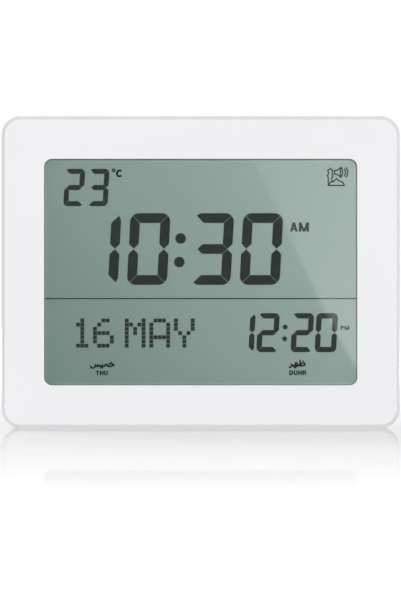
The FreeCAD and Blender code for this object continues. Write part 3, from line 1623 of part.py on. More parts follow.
# ---------------------------------------------------------------- build, check and write
def checked(pieces):
    doc.recompute()
    for thing in doc.Objects:
        if "Invalid" in thing.State or "Error" in thing.State:
            raise RuntimeError(f"{thing.Name} failed: {thing.State}")
    for piece in pieces:
        if piece.Shape.isNull() or not piece.Shape.isValid():
            raise RuntimeError(f"{piece.Label} has no valid shape")
    return pieces


pieces = checked(
    [
        frontFrame(),
        *windowParts(),
        *displayCell(),
        displayGasket(),
        *readouts(),
        *backlight(),
        lcdHolder(),
        *mainBoard(),
        temperatureSensor(),
        rearCover(),
        *keys(),
        keyBoard(),
        *slideSwitch(),
        *speaker(),
        *batteries(),
        batteryDoor(),
        *standLeg(),
        *fasteners(),
        *wires(),
    ]
)

os.makedirs("parts", exist_ok=True)
for piece in pieces:
    piece.Shape.exportStep(f"parts/{piece.Label}.step")
print(f"{len(pieces)} pieces written")
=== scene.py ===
import math

import bmesh
import bpy
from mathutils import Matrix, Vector
from mathutils.geometry import delaunay_2d_cdt


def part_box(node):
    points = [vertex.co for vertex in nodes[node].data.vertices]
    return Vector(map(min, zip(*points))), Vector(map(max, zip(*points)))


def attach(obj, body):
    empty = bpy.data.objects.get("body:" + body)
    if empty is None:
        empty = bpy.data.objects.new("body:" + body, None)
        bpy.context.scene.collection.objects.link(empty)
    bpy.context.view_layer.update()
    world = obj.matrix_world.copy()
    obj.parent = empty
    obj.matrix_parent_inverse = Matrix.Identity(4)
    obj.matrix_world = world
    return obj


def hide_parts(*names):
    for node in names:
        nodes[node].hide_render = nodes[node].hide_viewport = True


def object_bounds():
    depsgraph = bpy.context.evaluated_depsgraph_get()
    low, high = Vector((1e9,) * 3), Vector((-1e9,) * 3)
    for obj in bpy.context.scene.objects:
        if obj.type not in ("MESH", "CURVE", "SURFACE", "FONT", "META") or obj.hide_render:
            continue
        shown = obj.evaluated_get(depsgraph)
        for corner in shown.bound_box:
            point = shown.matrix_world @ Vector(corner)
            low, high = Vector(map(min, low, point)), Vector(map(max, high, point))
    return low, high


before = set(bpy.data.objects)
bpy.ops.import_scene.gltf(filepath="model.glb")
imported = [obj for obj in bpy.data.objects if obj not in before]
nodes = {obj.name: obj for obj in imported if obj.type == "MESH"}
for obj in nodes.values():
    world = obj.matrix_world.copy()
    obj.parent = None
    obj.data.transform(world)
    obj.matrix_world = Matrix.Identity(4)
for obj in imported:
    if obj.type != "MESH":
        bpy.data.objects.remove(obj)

# Azan clock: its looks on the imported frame. Metres, X to the right of the face, -Y out of it, Z up.
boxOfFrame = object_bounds()
scene = bpy.context.scene
scene.view_settings.view_transform = "Standard"
scene.cycles.transparent_max_bounces = 32  # light passes the panes over the display on its way in and out
mm = 0.001
schlickPower = 5
cloudSpan = (0.35, 0.65)  # nearly all of a noise lies between these


def linear(colour):  # sRGB hex to the linear colour that a shader takes
    parts = [int(colour[i:i + 2], 16) / 255 for i in (1, 3, 5)]
    return tuple(p / 12.92 if p <= 0.04045 else ((p + 0.055) / 1.055) ** 2.4 for p in parts) + (1.0,)


def addNode(tree, kind, settings=()):  # by a property's or socket's name, or a socket's number
    node = tree.nodes.new("ShaderNode" + kind)
    for key, value in dict(settings).items():
        if isinstance(value, bpy.types.Node):  # a node stands for its first output
            value = value.outputs[0]
        if not isinstance(key, int) and key not in node.inputs:
            setattr(node, key, value)
        elif isinstance(value, bpy.types.NodeSocket):
            tree.links.new(value, node.inputs[key])
        else:
            node.inputs[key].default_value = value
    return node


def newMaterial(name):
    material = bpy.data.materials.new(name)
    material.use_nodes = True
    material.node_tree.nodes.clear()
    return material, material.node_tree


def slanting(tree):  # Schlick's rule for a mirror: 0 seen straight on, 1 along the surface
    facing = addNode(tree, "LayerWeight", {"Blend": 0.5}).outputs["Facing"]
    return addNode(tree, "Math", {"operation": "POWER", 0: facing, 1: schlickPower})


def coat(material, *names):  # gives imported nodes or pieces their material
    for name in names:
        piece = nodes.get(name) or bpy.data.objects[name]
        piece.data.materials.clear()
        piece.data.materials.append(material)
        piece.data.polygons.foreach_set("material_index", [0] * len(piece.data.polygons))


# Plastics, rubber and printed layers: one skin of cloudy tone, fine grain and gloss
def mouldedSkin(name, look):
    material, tree = newMaterial(name)
    place = addNode(tree, "TexCoord").outputs["Object"]
    cloud = addNode(tree, "TexNoise", {"Scale": 1 / (look["cloud"] * mm), "Detail": 2, "Vector": place})
    grain = addNode(tree, "TexNoise", {"Scale": 1 / (look["grain"] * mm), "Detail": 3, "Vector": place})
    low, high = cloudSpan
    tone = addNode(tree, "MapRange", {"From Min": low, "From Max": high, "Value": cloud})
    tones = {"data_type": "RGBA", 6: linear(look["colour"]), 7: linear(look["shade"])}
    low, high = look["roughness"]
    skin = addNode(tree, "BsdfPrincipled", {
        "Base Color": addNode(tree, "Mix", {**tones, 0: tone}).outputs[2],
        "Roughness": addNode(tree, "MapRange", {"To Min": low, "To Max": high, "Value": grain}),
        "Normal": addNode(tree, "Bump", {"Strength": 1, "Distance": look["depth"] * mm, "Height": grain}),
        "IOR": look["ior"],
        "Metallic": look.get("metallic", 0),
        "Sheen Weight": look.get("sheen", 0),
    })
    addNode(tree, "OutputMaterial", {"Surface": skin})
    return material


# White ABS from a polished mould: an even satin white that shows its round edges by tone alone
polishedAbs = {
    "colour": "#F1F1F3", "shade": "#EFEFF1", "cloud": 70, "grain": 2.5,
    "depth": 0.002, "roughness": (0.34, 0.42), "ior": 1.53,
}
coat(mouldedSkin("polishedWhiteAbs", polishedAbs), "front_frame")
# The same ABS from a spark-eroded mould: a fine dull grain, drawn at 0.7 mm, as its real 0.1 mm is too fine
sparkedAbs = {
    "colour": "#EEEEF0", "shade": "#EBEBED", "cloud": 60, "grain": 0.7,
    "depth": 0.035, "roughness": (0.5, 0.62), "ior": 1.53,
}
coat(mouldedSkin("sparkErodedWhiteAbs", sparkedAbs), "rear_cover", "battery_door", "stand_leg")

# The window's bevel, from a mirror-polished insert of the mould: glossier than the face, and painted whiter
# as a painted highlight, a thin bright line round the display
paintedHighlightAbs = {
    "colour": "#FFFFFF", "shade": "#FCFCFD", "cloud": 70, "grain": 2.5,
    "depth": 0.001, "roughness": (0.12, 0.18), "ior": 1.53,
}
bevelLook = {
    "reach": 1.5,  # mm past the window's edge
    "slope": (0.5, 0.95),  # how much it faces forward
}
frameMesh = nodes["front_frame"].data
frameMesh.materials.append(mouldedSkin("paintedHighlightBevelAbs", paintedHighlightAbs))
windowLow, windowHigh = (Vector(corner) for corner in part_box("lens_window"))
pastEdge = Vector((1, 0, 1)) * bevelLook["reach"] * mm
bevelLow, bevelHigh = windowLow - pastEdge, windowHigh + pastEdge
leastSlope, mostSlope = bevelLook["slope"]
for face in frameMesh.polygons:
    x, _, z = face.center
    isNear = bevelLow.x < x < bevelHigh.x and bevelLow.z < z < bevelHigh.z
    if isNear and leastSlope < -face.normal.y < mostSlope:
        face.material_index = 1

# Grey ABS keys from a lightly blasted mould: soft highlights on their rounded tops
blastedKeys = {
    "colour": "#8E9196", "shade": "#888B90", "cloud": 9, "grain": 0.5,
    "depth": 0.02, "roughness": (0.4, 0.52), "ior": 1.53,
}
keys = ["mode_key", "set_key", "city_key", "up_key", "down_key", "light_key"]
coat(mouldedSkin("blastedGreyAbs", blastedKeys), *keys)
# Polystyrene holder straight from the tool: dull, with slow flow clouds
holderMoulding = {
    "colour": "#B9BBBD", "shade": "#AFB1B4", "cloud": 18, "grain": 1.2,
    "depth": 0.01, "roughness": (0.45, 0.6), "ior": 1.59,
}
coat(mouldedSkin("flowMarkedPolystyrene", holderMoulding), "lcd_holder")
# Glass-filled PBT: black with a faint silvery fleck from its fibres
filledPbt = {
    "colour": "#1B1B1D", "shade": "#29292B", "cloud": 0.8, "grain": 0.35,
    "depth": 0.012, "roughness": (0.38, 0.6), "ior": 1.55,
}
coat(mouldedSkin("glassFilledPbt", filledPbt), "slide_switch", "slide_knob")
# Nylon sockets: milky off-white with a waxy gloss
nylonSockets = {
    "colour": "#E9E5D6", "shade": "#E1DDCC", "cloud": 4, "grain": 0.6,
    "depth": 0.008, "roughness": (0.35, 0.5), "ior": 1.53,
}
coat(mouldedSkin("mouldedNylon", nylonSockets), "board_connectors")
# Glob and chip epoxy: near black, its filler showing as a dull pitted skin
filledEpoxy = {
    "colour": "#161616", "shade": "#222223", "cloud": 1.5, "grain": 0.4,
    "depth": 0.03, "roughness": (0.45, 0.75), "ior": 1.55,
}
coat(mouldedSkin("filledEpoxy", filledEpoxy), "controller_blob", "sound_chip", "temperature_sensor")
# Closed-cell foam, cut from sheet: its 0.4 mm cells leave a dull pocked face
cutFoam = {
    "colour": "#1C1C1D", "shade": "#101011", "cloud": 0.8, "grain": 0.4,
    "depth": 0.12, "roughness": (0.8, 0.95), "ior": 1.45,
}
coat(mouldedSkin("closedCellFoam", cutFoam), "display_gasket", "speaker_gasket")
# Moulded nitrile pad: matt dark grey with a dusty bloom
nitrilePad = {
    "colour": "#47484A", "shade": "#535456", "cloud": 3, "grain": 0.5,
    "depth": 0.03, "roughness": (0.65, 0.85), "ior": 1.5, "sheen": 0.15,
}
coat(mouldedSkin("mouldedNitrile", nitrilePad), "leg_pad")
# Sintered ferrite: charcoal, ground flat, with fine chips
groundFerrite = {
    "colour": "#35363A", "shade": "#2B2C2F", "cloud": 1.2, "grain": 0.4,
    "depth": 0.05, "roughness": (0.55, 0.8), "ior": 1.6,
}
coat(mouldedSkin("groundFerrite", groundFerrite), "speaker_magnet")
# Pressed paper pulp: a soft black felt of 0.3 mm fibres, drawn at 0.6 mm to show
pressedPulp = {
    "colour": "#222220", "shade": "#302F2C", "cloud": 0.9, "grain": 0.6,
    "depth": 0.06, "roughness": (0.8, 0.95), "ior": 1.45, "sheen": 0.3,
}
coat(mouldedSkin("pressedPaperPulp", pressedPulp), "speaker_cone")
# Phenolic paper: brown laminate with darker resin patches
phenolicPaper = {
    "colour": "#7A4B26", "shade": "#5F3818", "cloud": 1.5, "grain": 0.5,
    "depth": 0.01, "roughness": (0.35, 0.5), "ior": 1.6,
}
coat(mouldedSkin("phenolicPaper", phenolicPaper), "speaker_terminals")
# PVC over stranded wire: smooth and slightly soft-looking
redPvc = {
    "colour": "#A81F1B", "shade": "#98201C", "cloud": 2, "grain": 0.5,
    "depth": 0.006, "roughness": (0.35, 0.48), "ior": 1.53,
}
coat(mouldedSkin("extrudedRedPvc", redPvc), "battery_wires")
blackPvc = {**redPvc, "colour": "#1E1E1F", "shade": "#29292A"}
coat(mouldedSkin("extrudedBlackPvc", blackPvc), "speaker_wires")
# Double-sided acrylic tape under the window: a flat grey-green line round the display
acrylicTape = {
    "colour": "#5D6966", "shade": "#566260", "cloud": 4, "grain": 0.5,
    "depth": 0.01, "roughness": (0.6, 0.75), "ior": 1.47,
}
coat(mouldedSkin("acrylicTape", acrylicTape), "lens_tape")
print("moulded pieces: finished")


# Metals: rolling or drawing lines over a slow change of tone
def platedMetal(name, look):
    material, tree = newMaterial(name)
    place = addNode(tree, "TexCoord").outputs["Object"]
    stretched = addNode(tree, "Mapping", {"Scale": look["stretch"], "Vector": place})
    lines = addNode(tree, "TexNoise", {"Scale": 1 / (look["line"] * mm), "Detail": 2, "Vector": stretched})
    cloud = addNode(tree, "TexNoise", {"Scale": 1 / (look["cloud"] * mm), "Detail": 3, "Vector": place})
    tones = {"data_type": "RGBA", 6: linear(look["colour"]), 7: linear(look["shade"])}
    low, high = look["roughness"]
    metal = addNode(tree, "BsdfPrincipled", {
        "Base Color": addNode(tree, "Mix", {**tones, 0: cloud}).outputs[2],
        "Metallic": 1,
        "Roughness": addNode(tree, "MapRange", {"To Min": low, "To Max": high, "Value": lines}),
        "Normal": addNode(tree, "Bump", {"Strength": 1, "Distance": look["depth"] * mm, "Height": lines}),
    })
    addNode(tree, "OutputMaterial", {"Surface": metal})
    return material


# Nickel on spring steel: bright and warm, with rolling lines along the strip
nickelStrip = {
    "colour": "#D9D3C8", "shade": "#CDC7BC", "stretch": (0.15, 1, 1), "line": 0.3,
    "cloud": 3, "depth": 0.003, "roughness": (0.2, 0.34),
}
nickelPlate = platedMetal("nickelPlatedSteel", nickelStrip)
coat(nickelPlate, "battery_contacts", "chip_legs", "quartz_crystal", "speaker_clamps")
# Zinc on turned screws: a bluish grey with a milky patchiness
zincScrews = {
    "colour": "#C3C8CE", "shade": "#A9AFB6", "stretch": (1, 1, 1), "line": 0.3,
    "cloud": 0.7, "depth": 0.004, "roughness": (0.28, 0.45),
}
screws = [f"{place}_screws" for place in ("case", "holder", "board", "key_board", "speaker")]
coat(platedMetal("zincPlatedScrew", zincScrews), *screws)
# Zinc-coated sheet pressed into the speaker basket: duller, with draw marks round its wall
pressedSheet = {
    "colour": "#A5A7A9", "shade": "#8F9193", "stretch": (1, 0.2, 1), "line": 0.6,
    "cloud": 4, "depth": 0.008, "roughness": (0.35, 0.5),
}
coat(platedMetal("pressedZincSheet", pressedSheet), "speaker_basket")
print("metal pieces: finished")


# Window and display cell: clear panes over the filled crystal cell
def clearSheet(name, look):  # a pane that lets through all that it doesn't mirror
    material, tree = newMaterial(name)
    straight = ((look["ior"] - 1) / (look["ior"] + 1)) ** 2
    share = {"To Min": straight, "To Max": look["edge"], "Value": slanting(tree)}
    place = addNode(tree, "TexCoord").outputs["Object"]
    ripple = addNode(tree, "TexNoise", {"Scale": 1 / (look["ripple"] * mm), "Detail": 1, "Vector": place})
    bump = addNode(tree, "Bump", {"Strength": 1, "Distance": look["depth"] * mm, "Height": ripple})
    pane = addNode(tree, "MixShader", {
        0: addNode(tree, "MapRange", share),
        1: addNode(tree, "BsdfTransparent", {"Color": (1, 1, 1, 1)}),
        2: addNode(tree, "BsdfAnisotropic", {"Roughness": look["roughness"], "Normal": bump}),
    })
    addNode(tree, "OutputMaterial", {"Surface": pane})
    return material


# Cast acrylic window: clear, polished, with a long slow wave that bends the glare's edge
castAcrylic = {"ior": 1.49, "edge": 0.6, "ripple": 90, "depth": 0.02, "roughness": 0.02}
coat(clearSheet("castAcrylic", castAcrylic), "lens_window")
# Polariser film with a coat against glare, laminated on the glass: hardly any gloss of its own
coatedFilm = {"ior": 1.12, "edge": 0.1, "ripple": 40, "depth": 0.02, "roughness": 0.25}
coat(clearSheet("coatedPolariser", coatedFilm), "lcd_front_polariser")
# Float glass under the film: the film's glue takes its gloss away
floatGlass = {"ior": 1.08, "edge": 0.08, "ripple": 60, "depth": 0.01, "roughness": 0.05}
coat(clearSheet("floatGlass", floatGlass), "lcd_front_glass")

# Filled crystal cell on its reflector: grey-green, with painted light that makes it paler towards its upper
# right corner
cellLook = {
    "low": "#7A9189",  # at the lower left corner
    "high": "#A7B9B3",  # at the upper right corner
    "across": 0.147,  # how much of the change runs along each axis
    "up": 0.1005,
    "mottle": 0.5,
    "mottleDepth": 0.03,
    "roughness": 0.55,
    "ior": 1.05,  # it lies against glass, not air, so it has hardly any gloss
    "rim": 0.74,  # painted light: how much paler it is painted towards the edge of the opening, evening out the shade that the window's edge casts on it
    "rimWidth": 0.91,
    "overlap": 2.6,  # how far the frame covers the window's edge
}


def filledCell(name, look):
    material, tree = newMaterial(name)
    place = addNode(tree, "TexCoord").outputs["Object"]
    middle = (windowLow + windowHigh) / 2
    half = (windowHigh - windowLow) / 2 - Vector((1, 0, 1)) * look["overlap"] * mm
    # Tone: a slope of painted light from corner to corner, with a fine mottle
    slope = Vector((look["across"], 0, look["up"]))
    along = addNode(tree, "VectorMath", {"operation": "DOT_PRODUCT", 0: place, 1: slope}).outputs["Value"]
    start, end = slope.dot(middle - half), slope.dot(middle + half)
    rise = addNode(tree, "MapRange", {"From Min": start, "From Max": end, "Value": along})
    mottle = addNode(tree, "TexNoise", {"Scale": 1 / (look["mottle"] * mm), "Detail": 2, "Vector": place})
    swing = {"To Min": -look["mottleDepth"], "To Max": look["mottleDepth"], "Value": mottle}
    tone = addNode(tree, "Math", {"operation": "ADD", 0: rise, 1: addNode(tree, "MapRange", swing)})
    tones = {"data_type": "RGBA", 6: linear(look["low"]), 7: linear(look["high"])}
    colour = addNode(tree, "Mix", {**tones, 0: tone}).outputs[2]
    # Painted light: it gets paler towards the edge of the opening, by the gap to the nearest edge, to even
    # out the shade that the window's edge casts
    fromMiddle = addNode(tree, "VectorMath", {"operation": "SUBTRACT", 0: place, 1: middle})
    offset = addNode(tree, "VectorMath", {"operation": "ABSOLUTE", 0: fromMiddle})
    sides = addNode(tree, "SeparateXYZ", {0: offset}).outputs
    gapAcross = addNode(tree, "Math", {"operation": "SUBTRACT", 0: half.x, 1: sides["X"]})
    gapUp = addNode(tree, "Math", {"operation": "SUBTRACT", 0: half.z, 1: sides["Z"]})
    gap = addNode(tree, "Math", {"operation": "MINIMUM", 0: gapAcross, 1: gapUp})
    fall = addNode(tree, "Math", {"operation": "DIVIDE", 0: gap, 1: -look["rimWidth"] * mm})
    paintedEdgeLightShare = addNode(tree, "Math", {"operation": "EXPONENT", 0: fall})
    gain = addNode(tree, "Math", {"operation": "MULTIPLY_ADD", 0: paintedEdgeLightShare, 1: look["rim"], 2: 1})
    cell = addNode(tree, "BsdfPrincipled", {
        "Base Color": addNode(tree, "VectorMath", {"operation": "SCALE", 0: colour, "Scale": gain}),
        "Roughness": look["roughness"],
        "IOR": look["ior"],
    })
    addNode(tree, "OutputMaterial", {"Surface": cell})
    return material


coat(filledCell("filledCrystalCell", cellLook), "lcd_rear_glass")
# Transflective film behind the cell: dull silver-green with a fine rolled grain
reflectorFilm = {
    "colour": "#B4C2BB", "shade": "#A5B3AC", "cloud": 12, "grain": 0.4,
    "depth": 0.01, "roughness": (0.3, 0.45), "ior": 1.5, "metallic": 0.6,
}
coat(mouldedSkin("transflectiveFilm", reflectorFilm), "lcd_reflector")
# Switched crystal: near black, a little mottled where the field is uneven, and without gloss in the glass
switchedCrystal = {
    "colour": "#29312F", "shade": "#2E3634", "cloud": 6, "grain": 0.5,
    "depth": 0.001, "roughness": (0.5, 0.6), "ior": 1.05,
}
readouts = ["time_digits", "prayer_time_digits", "temperature_digits", "date_dots"]
coat(mouldedSkin("switchedCrystal", switchedCrystal), *readouts)
# The divider is printed, so it is greener and thinner in tone than the switched segments
printedLine = {**switchedCrystal, "colour": "#2B3B36", "shade": "#324540", "cloud": 5}
coat(mouldedSkin("screenPrintedLine", printedLine), "divider_line")
print("window and cell: finished")


# Marks of the display that are too thin for the frame: they lie in the segments' layer
segmentLow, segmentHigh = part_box("time_digits")
joinWithin = 1e-4  # mm; corners nearer than this are one


def printedShape(name, outlines, low, high):  # joins outlines in x and z (mm), and gives them depth in y (m)
    points, faces = [], []
    for outline in outlines:
        turn = sum(a[0] * b[1] - b[0] * a[1] for a, b in zip(outline, outline[1:] + outline[:1]))
        faces.append(list(range(len(points), len(points) + len(outline))))
        points += [Vector(p) for p in (outline if turn > 0 else outline[::-1])]
    insideOnly = 1  # no triangles outside the outlines
    flat, _, pieces, _, _, sources = delaunay_2d_cdt(points, [], faces, insideOnly, joinWithin)
    build = bmesh.new()
    corners = [build.verts.new((p.x * mm, low, p.y * mm)) for p in flat]
    for piece, source in zip(pieces, sources):
        if source:  # the others are holes in a letter
            build.faces.new([corners[i] for i in piece])
    grown = bmesh.ops.extrude_face_region(build, geom=build.faces[:])
    moved = [v for v in grown["geom"] if isinstance(v, bmesh.types.BMVert)]
    bmesh.ops.translate(build, vec=(0, high - low, 0), verts=moved)
    bmesh.ops.delete(build, geom=[v for v in build.verts if not v.link_faces], context="VERTS")
    bmesh.ops.recalc_face_normals(build, faces=build.faces)
    return newPiece(name, build)


def newPiece(name, build):
    mesh = bpy.data.meshes.new(name)
    build.to_mesh(mesh)
    build.free()
    piece = bpy.data.objects.new(name, mesh)
    scene.collection.objects.link(piece)
    return piece


def ring(count):  # even turns round a circle
    return [math.tau * k / count for k in range(count)]


def bar(xLow, zLow, xHigh, zHigh):
    return [(xLow, zLow), (xHigh, zLow), (xHigh, zHigh), (xLow, zHigh)]


def slant(foot, head, width, zLow=0.0, zHigh=1.0):  # a leaning stroke cut level at both ends
    return [(foot, zLow), (foot + width, zLow), (head + width, zHigh), (head, zHigh)]


# Plain bold capitals, one unit high
letterLook = {
    "weight": 0.275,
    "lean": 0.25,  # weight of a leaning stroke
    "flat": 0.86,  # a bow's weight where it lies flat, as a share of its weight where it stands
    "gap": 0.12,
}
heavy, lean = letterLook["weight"], letterLook["lean"]


def bow(x, z, wide, high, weight, start, end, steps=12):  # part of an oval ring, angles in degrees
    turns = [math.radians(start + (end - start) * i / steps) for i in range(steps + 1)]
    innerWide, innerHigh = wide - weight, high - weight * letterLook["flat"]
    outer = [(x + wide * math.cos(a), z + high * math.sin(a)) for a in turns]
    inner = [(x + innerWide * math.cos(a), z + innerHigh * math.sin(a)) for a in turns]
    return [[outer[i], outer[i + 1], inner[i + 1], inner[i]] for i in range(steps)]


def stroke(points, width, jointSides=8):  # a line with round joints and ends
    outlines = []
    for start, end in zip(points, points[1:]):
        start, end = Vector(start), Vector(end)
        way = (end - start).normalized() * width / 2
        side = Vector((-way.y, way.x))
        outlines.append([tuple(p) for p in (start + side, end + side, end - side, start - side)])
    half = width / 2
    for x, z in points:
        outlines.append([(x + half * math.cos(a), z + half * math.sin(a)) for a in ring(jointSides)])
    return outlines


def between(p, q, r, s, t):  # Catmull and Rom's curve, on its way from q to r
    bend = (2 * p - 5 * q + 4 * r - s) * t ** 2 + (3 * q - p - 3 * r + s) * t ** 3
    return 0.5 * (2 * q + (r - p) * t + bend)


def curved(points, steps=4):  # a smooth line through the points
    line = []
    ends = [points[0]] + points + [points[-1]]
    for corners in zip(ends, ends[1:], ends[2:], ends[3:]):
        for i in range(steps):
            line.append(tuple(between(*axis, i / steps) for axis in zip(*corners)))
    return line + [points[-1]]


standing = bar(0, 0, heavy, 1)
loopOfP = [
    standing, bar(0.1, 0.785, 0.46, 1), bar(0.1, 0.38, 0.46, 0.595),
    *bow(0.46, 0.69, 0.3, 0.31, heavy, -90, 90),
]
letters = {  # each with its width
    "A": (0.86, [slant(0, 0.31, lean), slant(0.61, 0.3, lean), bar(0.2, 0.2, 0.66, 0.37)]),
    "C": (0.9, bow(0.46, 0.5, 0.46, 0.5, heavy, 42, 318, 20)),
    "D": (0.84, [
        standing, bar(0.1, 0, 0.4, 0.215), bar(0.1, 0.785, 0.4, 1),
        *bow(0.4, 0.5, 0.44, 0.5, heavy, -90, 90),
    ]),
    "H": (0.82, [standing, bar(0.82 - heavy, 0, 0.82, 1), bar(0.1, 0.37, 0.72, 0.64)]),
    "M": (1.12, [
        standing, bar(1.12 - heavy, 0, 1.12, 1), slant(0.435, 0, heavy), slant(0.435, 1.12 - heavy, heavy)
    ]),
    "P": (0.76, loopOfP),
    "R": (0.84, [*loopOfP, slant(0.6, 0.36, lean, 0, 0.46)]),
    "T": (0.82, [bar(0, 0.79, 0.82, 1), bar(0.285, 0, 0.535, 1)]),
    "U": (0.82, [
        bar(0, 0.37, heavy, 1), bar(0.82 - heavy, 0.37, 0.82, 1),
        *bow(0.41, 0.37, 0.41, 0.37, heavy, 180, 360),
    ]),
}


def capitals(text, area):  # a word fitted to its area (x, x, z, z)
    xLow, xHigh, zLow, zHigh = area
    outlines, start = [], 0.0
    for letter in text:
        width, shapes = letters[letter]
        outlines += [[(x + start, z) for x, z in shape] for shape in shapes]
        start += width + letterLook["gap"]
    across = (xHigh - xLow) / (start - letterLook["gap"])
    return [[(xLow + x * across, zLow + z * (zHigh - zLow)) for x, z in shape] for shape in outlines]


grid = {"middle": 200.6, "foot": 428, "pitch": 0.577}  # the display's drawing grid, whose rows run downwards


def toFace(column, row):  # a point of the grid to x and z on the face (mm)
    return (column - grid["middle"]) * grid["pitch"], (grid["foot"] - row) * grid["pitch"]


def handLines(lines, width, smooth=True):
    outlines = []
    for line in lines:
        points = [toFace(*p) for p in line]
        outlines += stroke(curved(points) if smooth and len(points) > 2 else points, width)
    return outlines


# The word for the fifth day of the week, in pen strokes on the grid
weekdayLines = [
    [(90.3, 366.1), (90.8, 367.5), (92.3, 368.1), (94, 367.6), (95, 366.2), (95.2, 364.7)],
    [(97, 366.4), (97.2, 364.9)],
    [(99.2, 366.4), (99.4, 365.0)],
    [(102, 366.4), (102.2, 364.7)],
    [(95, 366.3), (104.5, 366.3)],
    [(104.5, 366.3), (105.2, 364.6), (106.8, 364.5), (107.3, 366.2)],
    [(107.3, 366.3), (110.5, 366.3), (113.9, 364.9), (110.2, 363.6), (108.9, 364.4)],
    [(110.8, 362), (110.9, 362)],
    [(100.6, 367.9), (100.7, 367.9)],
    [(101.9, 367.9), (102, 367.9)],
]
# The word for noon
noonLines = [
    [(300.2, 360.2), (300.2, 365.3)],
    [(300.2, 365.2), (301.8, 363.4), (304, 363), (305, 364.2), (304.2, 365.5), (301.5, 365.9), (297, 365.6)],
    [(303.3, 361.1), (303.4, 361.1)],
    [
        (298.8, 365.6), (297.6, 364), (296, 362.8), (295.4, 364.6), (296.5, 366.2),
        (295.6, 367.6), (294.5, 367.4), (294, 366), (295.5, 365.3),
    ],
    [(297, 365.6), (293.2, 365.6)],
    [(291, 364.2), (292.2, 365.2), (291.6, 366.6), (289.2, 367.5)],
]
# A small mosque and a loudspeaker that calls: the sign of an alarm at prayer time
callLines = [
    [(328.4, 171.2), (327.7, 170.3), (330.3, 168.2), (332.9, 170.3), (332.2, 171.2)],
    [(328.4, 171.2), (328.4, 174.2), (327.4, 175.6), (328.4, 177.0), (328.4, 185.25)],
    [(332.2, 171.2), (332.3, 174.2), (333.2, 175.6), (332.1, 177.2), (332.1, 181)],
    [
        (328.4, 185.25), (330.5, 182), (334, 181), (336.6, 178.25), (339, 180.5),
        (342, 181.5), (343.75, 183.5), (344.5, 185.25),
    ],
    [(328.2, 185.25), (344.7, 185.25)],
    [(334.6, 170.25), (336.4, 170.5), (341.25, 167.25)],
    [(334.6, 173.9), (336.4, 173.75), (341.25, 177)],
    [(334.6, 170.0), (334.6, 174.1)],
    [(340.5, 167.5), (340.5, 176.75)],
    [(341.25, 167), (342.3, 169.3), (342.75, 172), (342.3, 174.7), (341.25, 177)],
    [(344.5, 168.75), (345.35, 170.3), (345.65, 172), (345.35, 173.9), (344.5, 175.75)],
    [(346.2, 167.5), (347.5, 169.6), (348, 172), (347.5, 174.6), (346.4, 177)],
]
markLook = {"pen": 0.9, "signPen": 0.7, "ringPen": 0.78, "ringSteps": 24}  # the pens' widths
ringPen, ringSteps = markLook["ringPen"], markLook["ringSteps"]
displayMarks = {
    "morning_mark": capitals("AM", (51.6, 62.6, 113.4, 118.7)),
    "afternoon_mark": capitals("PM", (80.9, 85.9, 56.6, 59.0)),
    "celsius_mark": capitals("C", (-49.0, -45.0, 144.8, 149.3)),
    "degree_mark": bow(-50.3, 148.8, 1.1, 1.1, ringPen, 0, 360, ringSteps),
    "weekday_name": capitals("THU", (-60.7, -53.7, 30.4, 33.0)),
    "weekday_name_arabic": handLines(weekdayLines, markLook["pen"]),
    "noon_name": capitals("DUHR", (51.2, 61.2, 30.5, 33.2)),
    "noon_name_arabic": handLines(noonLines, markLook["pen"]),
    "call_sign": handLines(callLines, markLook["signPen"], smooth=False),
}
# The small marks are switched by a stronger field of their own: they are the darkest of the display
strongCrystal = {**switchedCrystal, "colour": "#03130D", "shade": "#071812", "cloud": 3}
markMaterial = mouldedSkin("stronglySwitchedCrystal", strongCrystal)
for name, outlines in displayMarks.items():
    mark = printedShape(name, outlines, segmentLow.y, segmentHigh.y)
    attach(mark, "case")
    coat(markMaterial, name)
print("display marks:", len(displayMarks))


# Battery springs: wire coiled on a cone, each from its contact to its cell
springLook = {
    "wire": 0.8,
    "wide": 3.4,
    "narrow": 2.2,
    "turns": 4.5,
    "closedStart": 0.75,  # turns that lie flat at each end
    "closedEnd": 0.5,
    "length": 5.2,
    "perTurn": 24,
    "round": 10,
}


def coil(build, start, axis, look):
    count = int(look["turns"] * look["perTurn"])
    rising = look["turns"] - look["closedStart"] - look["closedEnd"]
    line = []
    for i in range(count + 1):
        share = i / count
        flat = min(max((share * look["turns"] - look["closedStart"]) / rising, 0), 1)
        radius = look["wide"] + (look["narrow"] - look["wide"]) * share
        turn = math.tau * look["turns"] * share
        reach = look["wire"] / 2 + (look["length"] - look["wire"]) * flat
        line.append(Vector((axis * reach, radius * math.cos(turn), radius * math.sin(turn))) * mm + start)
    half = look["wire"] / 2 * mm
    rings = []
    for i, point in enumerate(line):
        way = (line[min(i + 1, count)] - line[max(i - 1, 0)]).normalized()
        side = way.cross(Vector((0, point.y - start.y, point.z - start.z))).normalized()
        out = side.cross(way)
        around = ((out * math.cos(a) + side * math.sin(a)) * half for a in ring(look["round"]))
        rings.append([build.verts.new(point + step) for step in around])
    for a, b in zip(rings, rings[1:]):
        for k in range(look["round"]):
            n = (k + 1) % look["round"]
            build.faces.new((a[k], a[n], b[n], b[k]))
    build.faces.new(rings[0][::-1])
    build.faces.new(rings[-1])


springLow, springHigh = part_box("battery_springs")
springY = (springLow.y + springHigh.y) / 2
springRadius = (springLook["wide"] + springLook["wire"] / 2) * mm
springBuild = bmesh.new()
coil(springBuild, Vector((springLow.x, springY, springHigh.z - springRadius)), 1, springLook)
coil(springBuild, Vector((springHigh.x, springY, springLow.z + springRadius)), -1, springLook)
bmesh.ops.recalc_face_normals(springBuild, faces=springBuild.faces)
springs = newPiece("coiled_springs", springBuild)
# The wire is smooth, and its cut ends are flat
springs.data.polygons.foreach_set("use_smooth", [len(p.vertices) == 4 for p in springs.data.polygons])
coat(nickelPlate, "coiled_springs")
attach(springs, "case")
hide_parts("battery_springs")
print("battery springs: coiled")


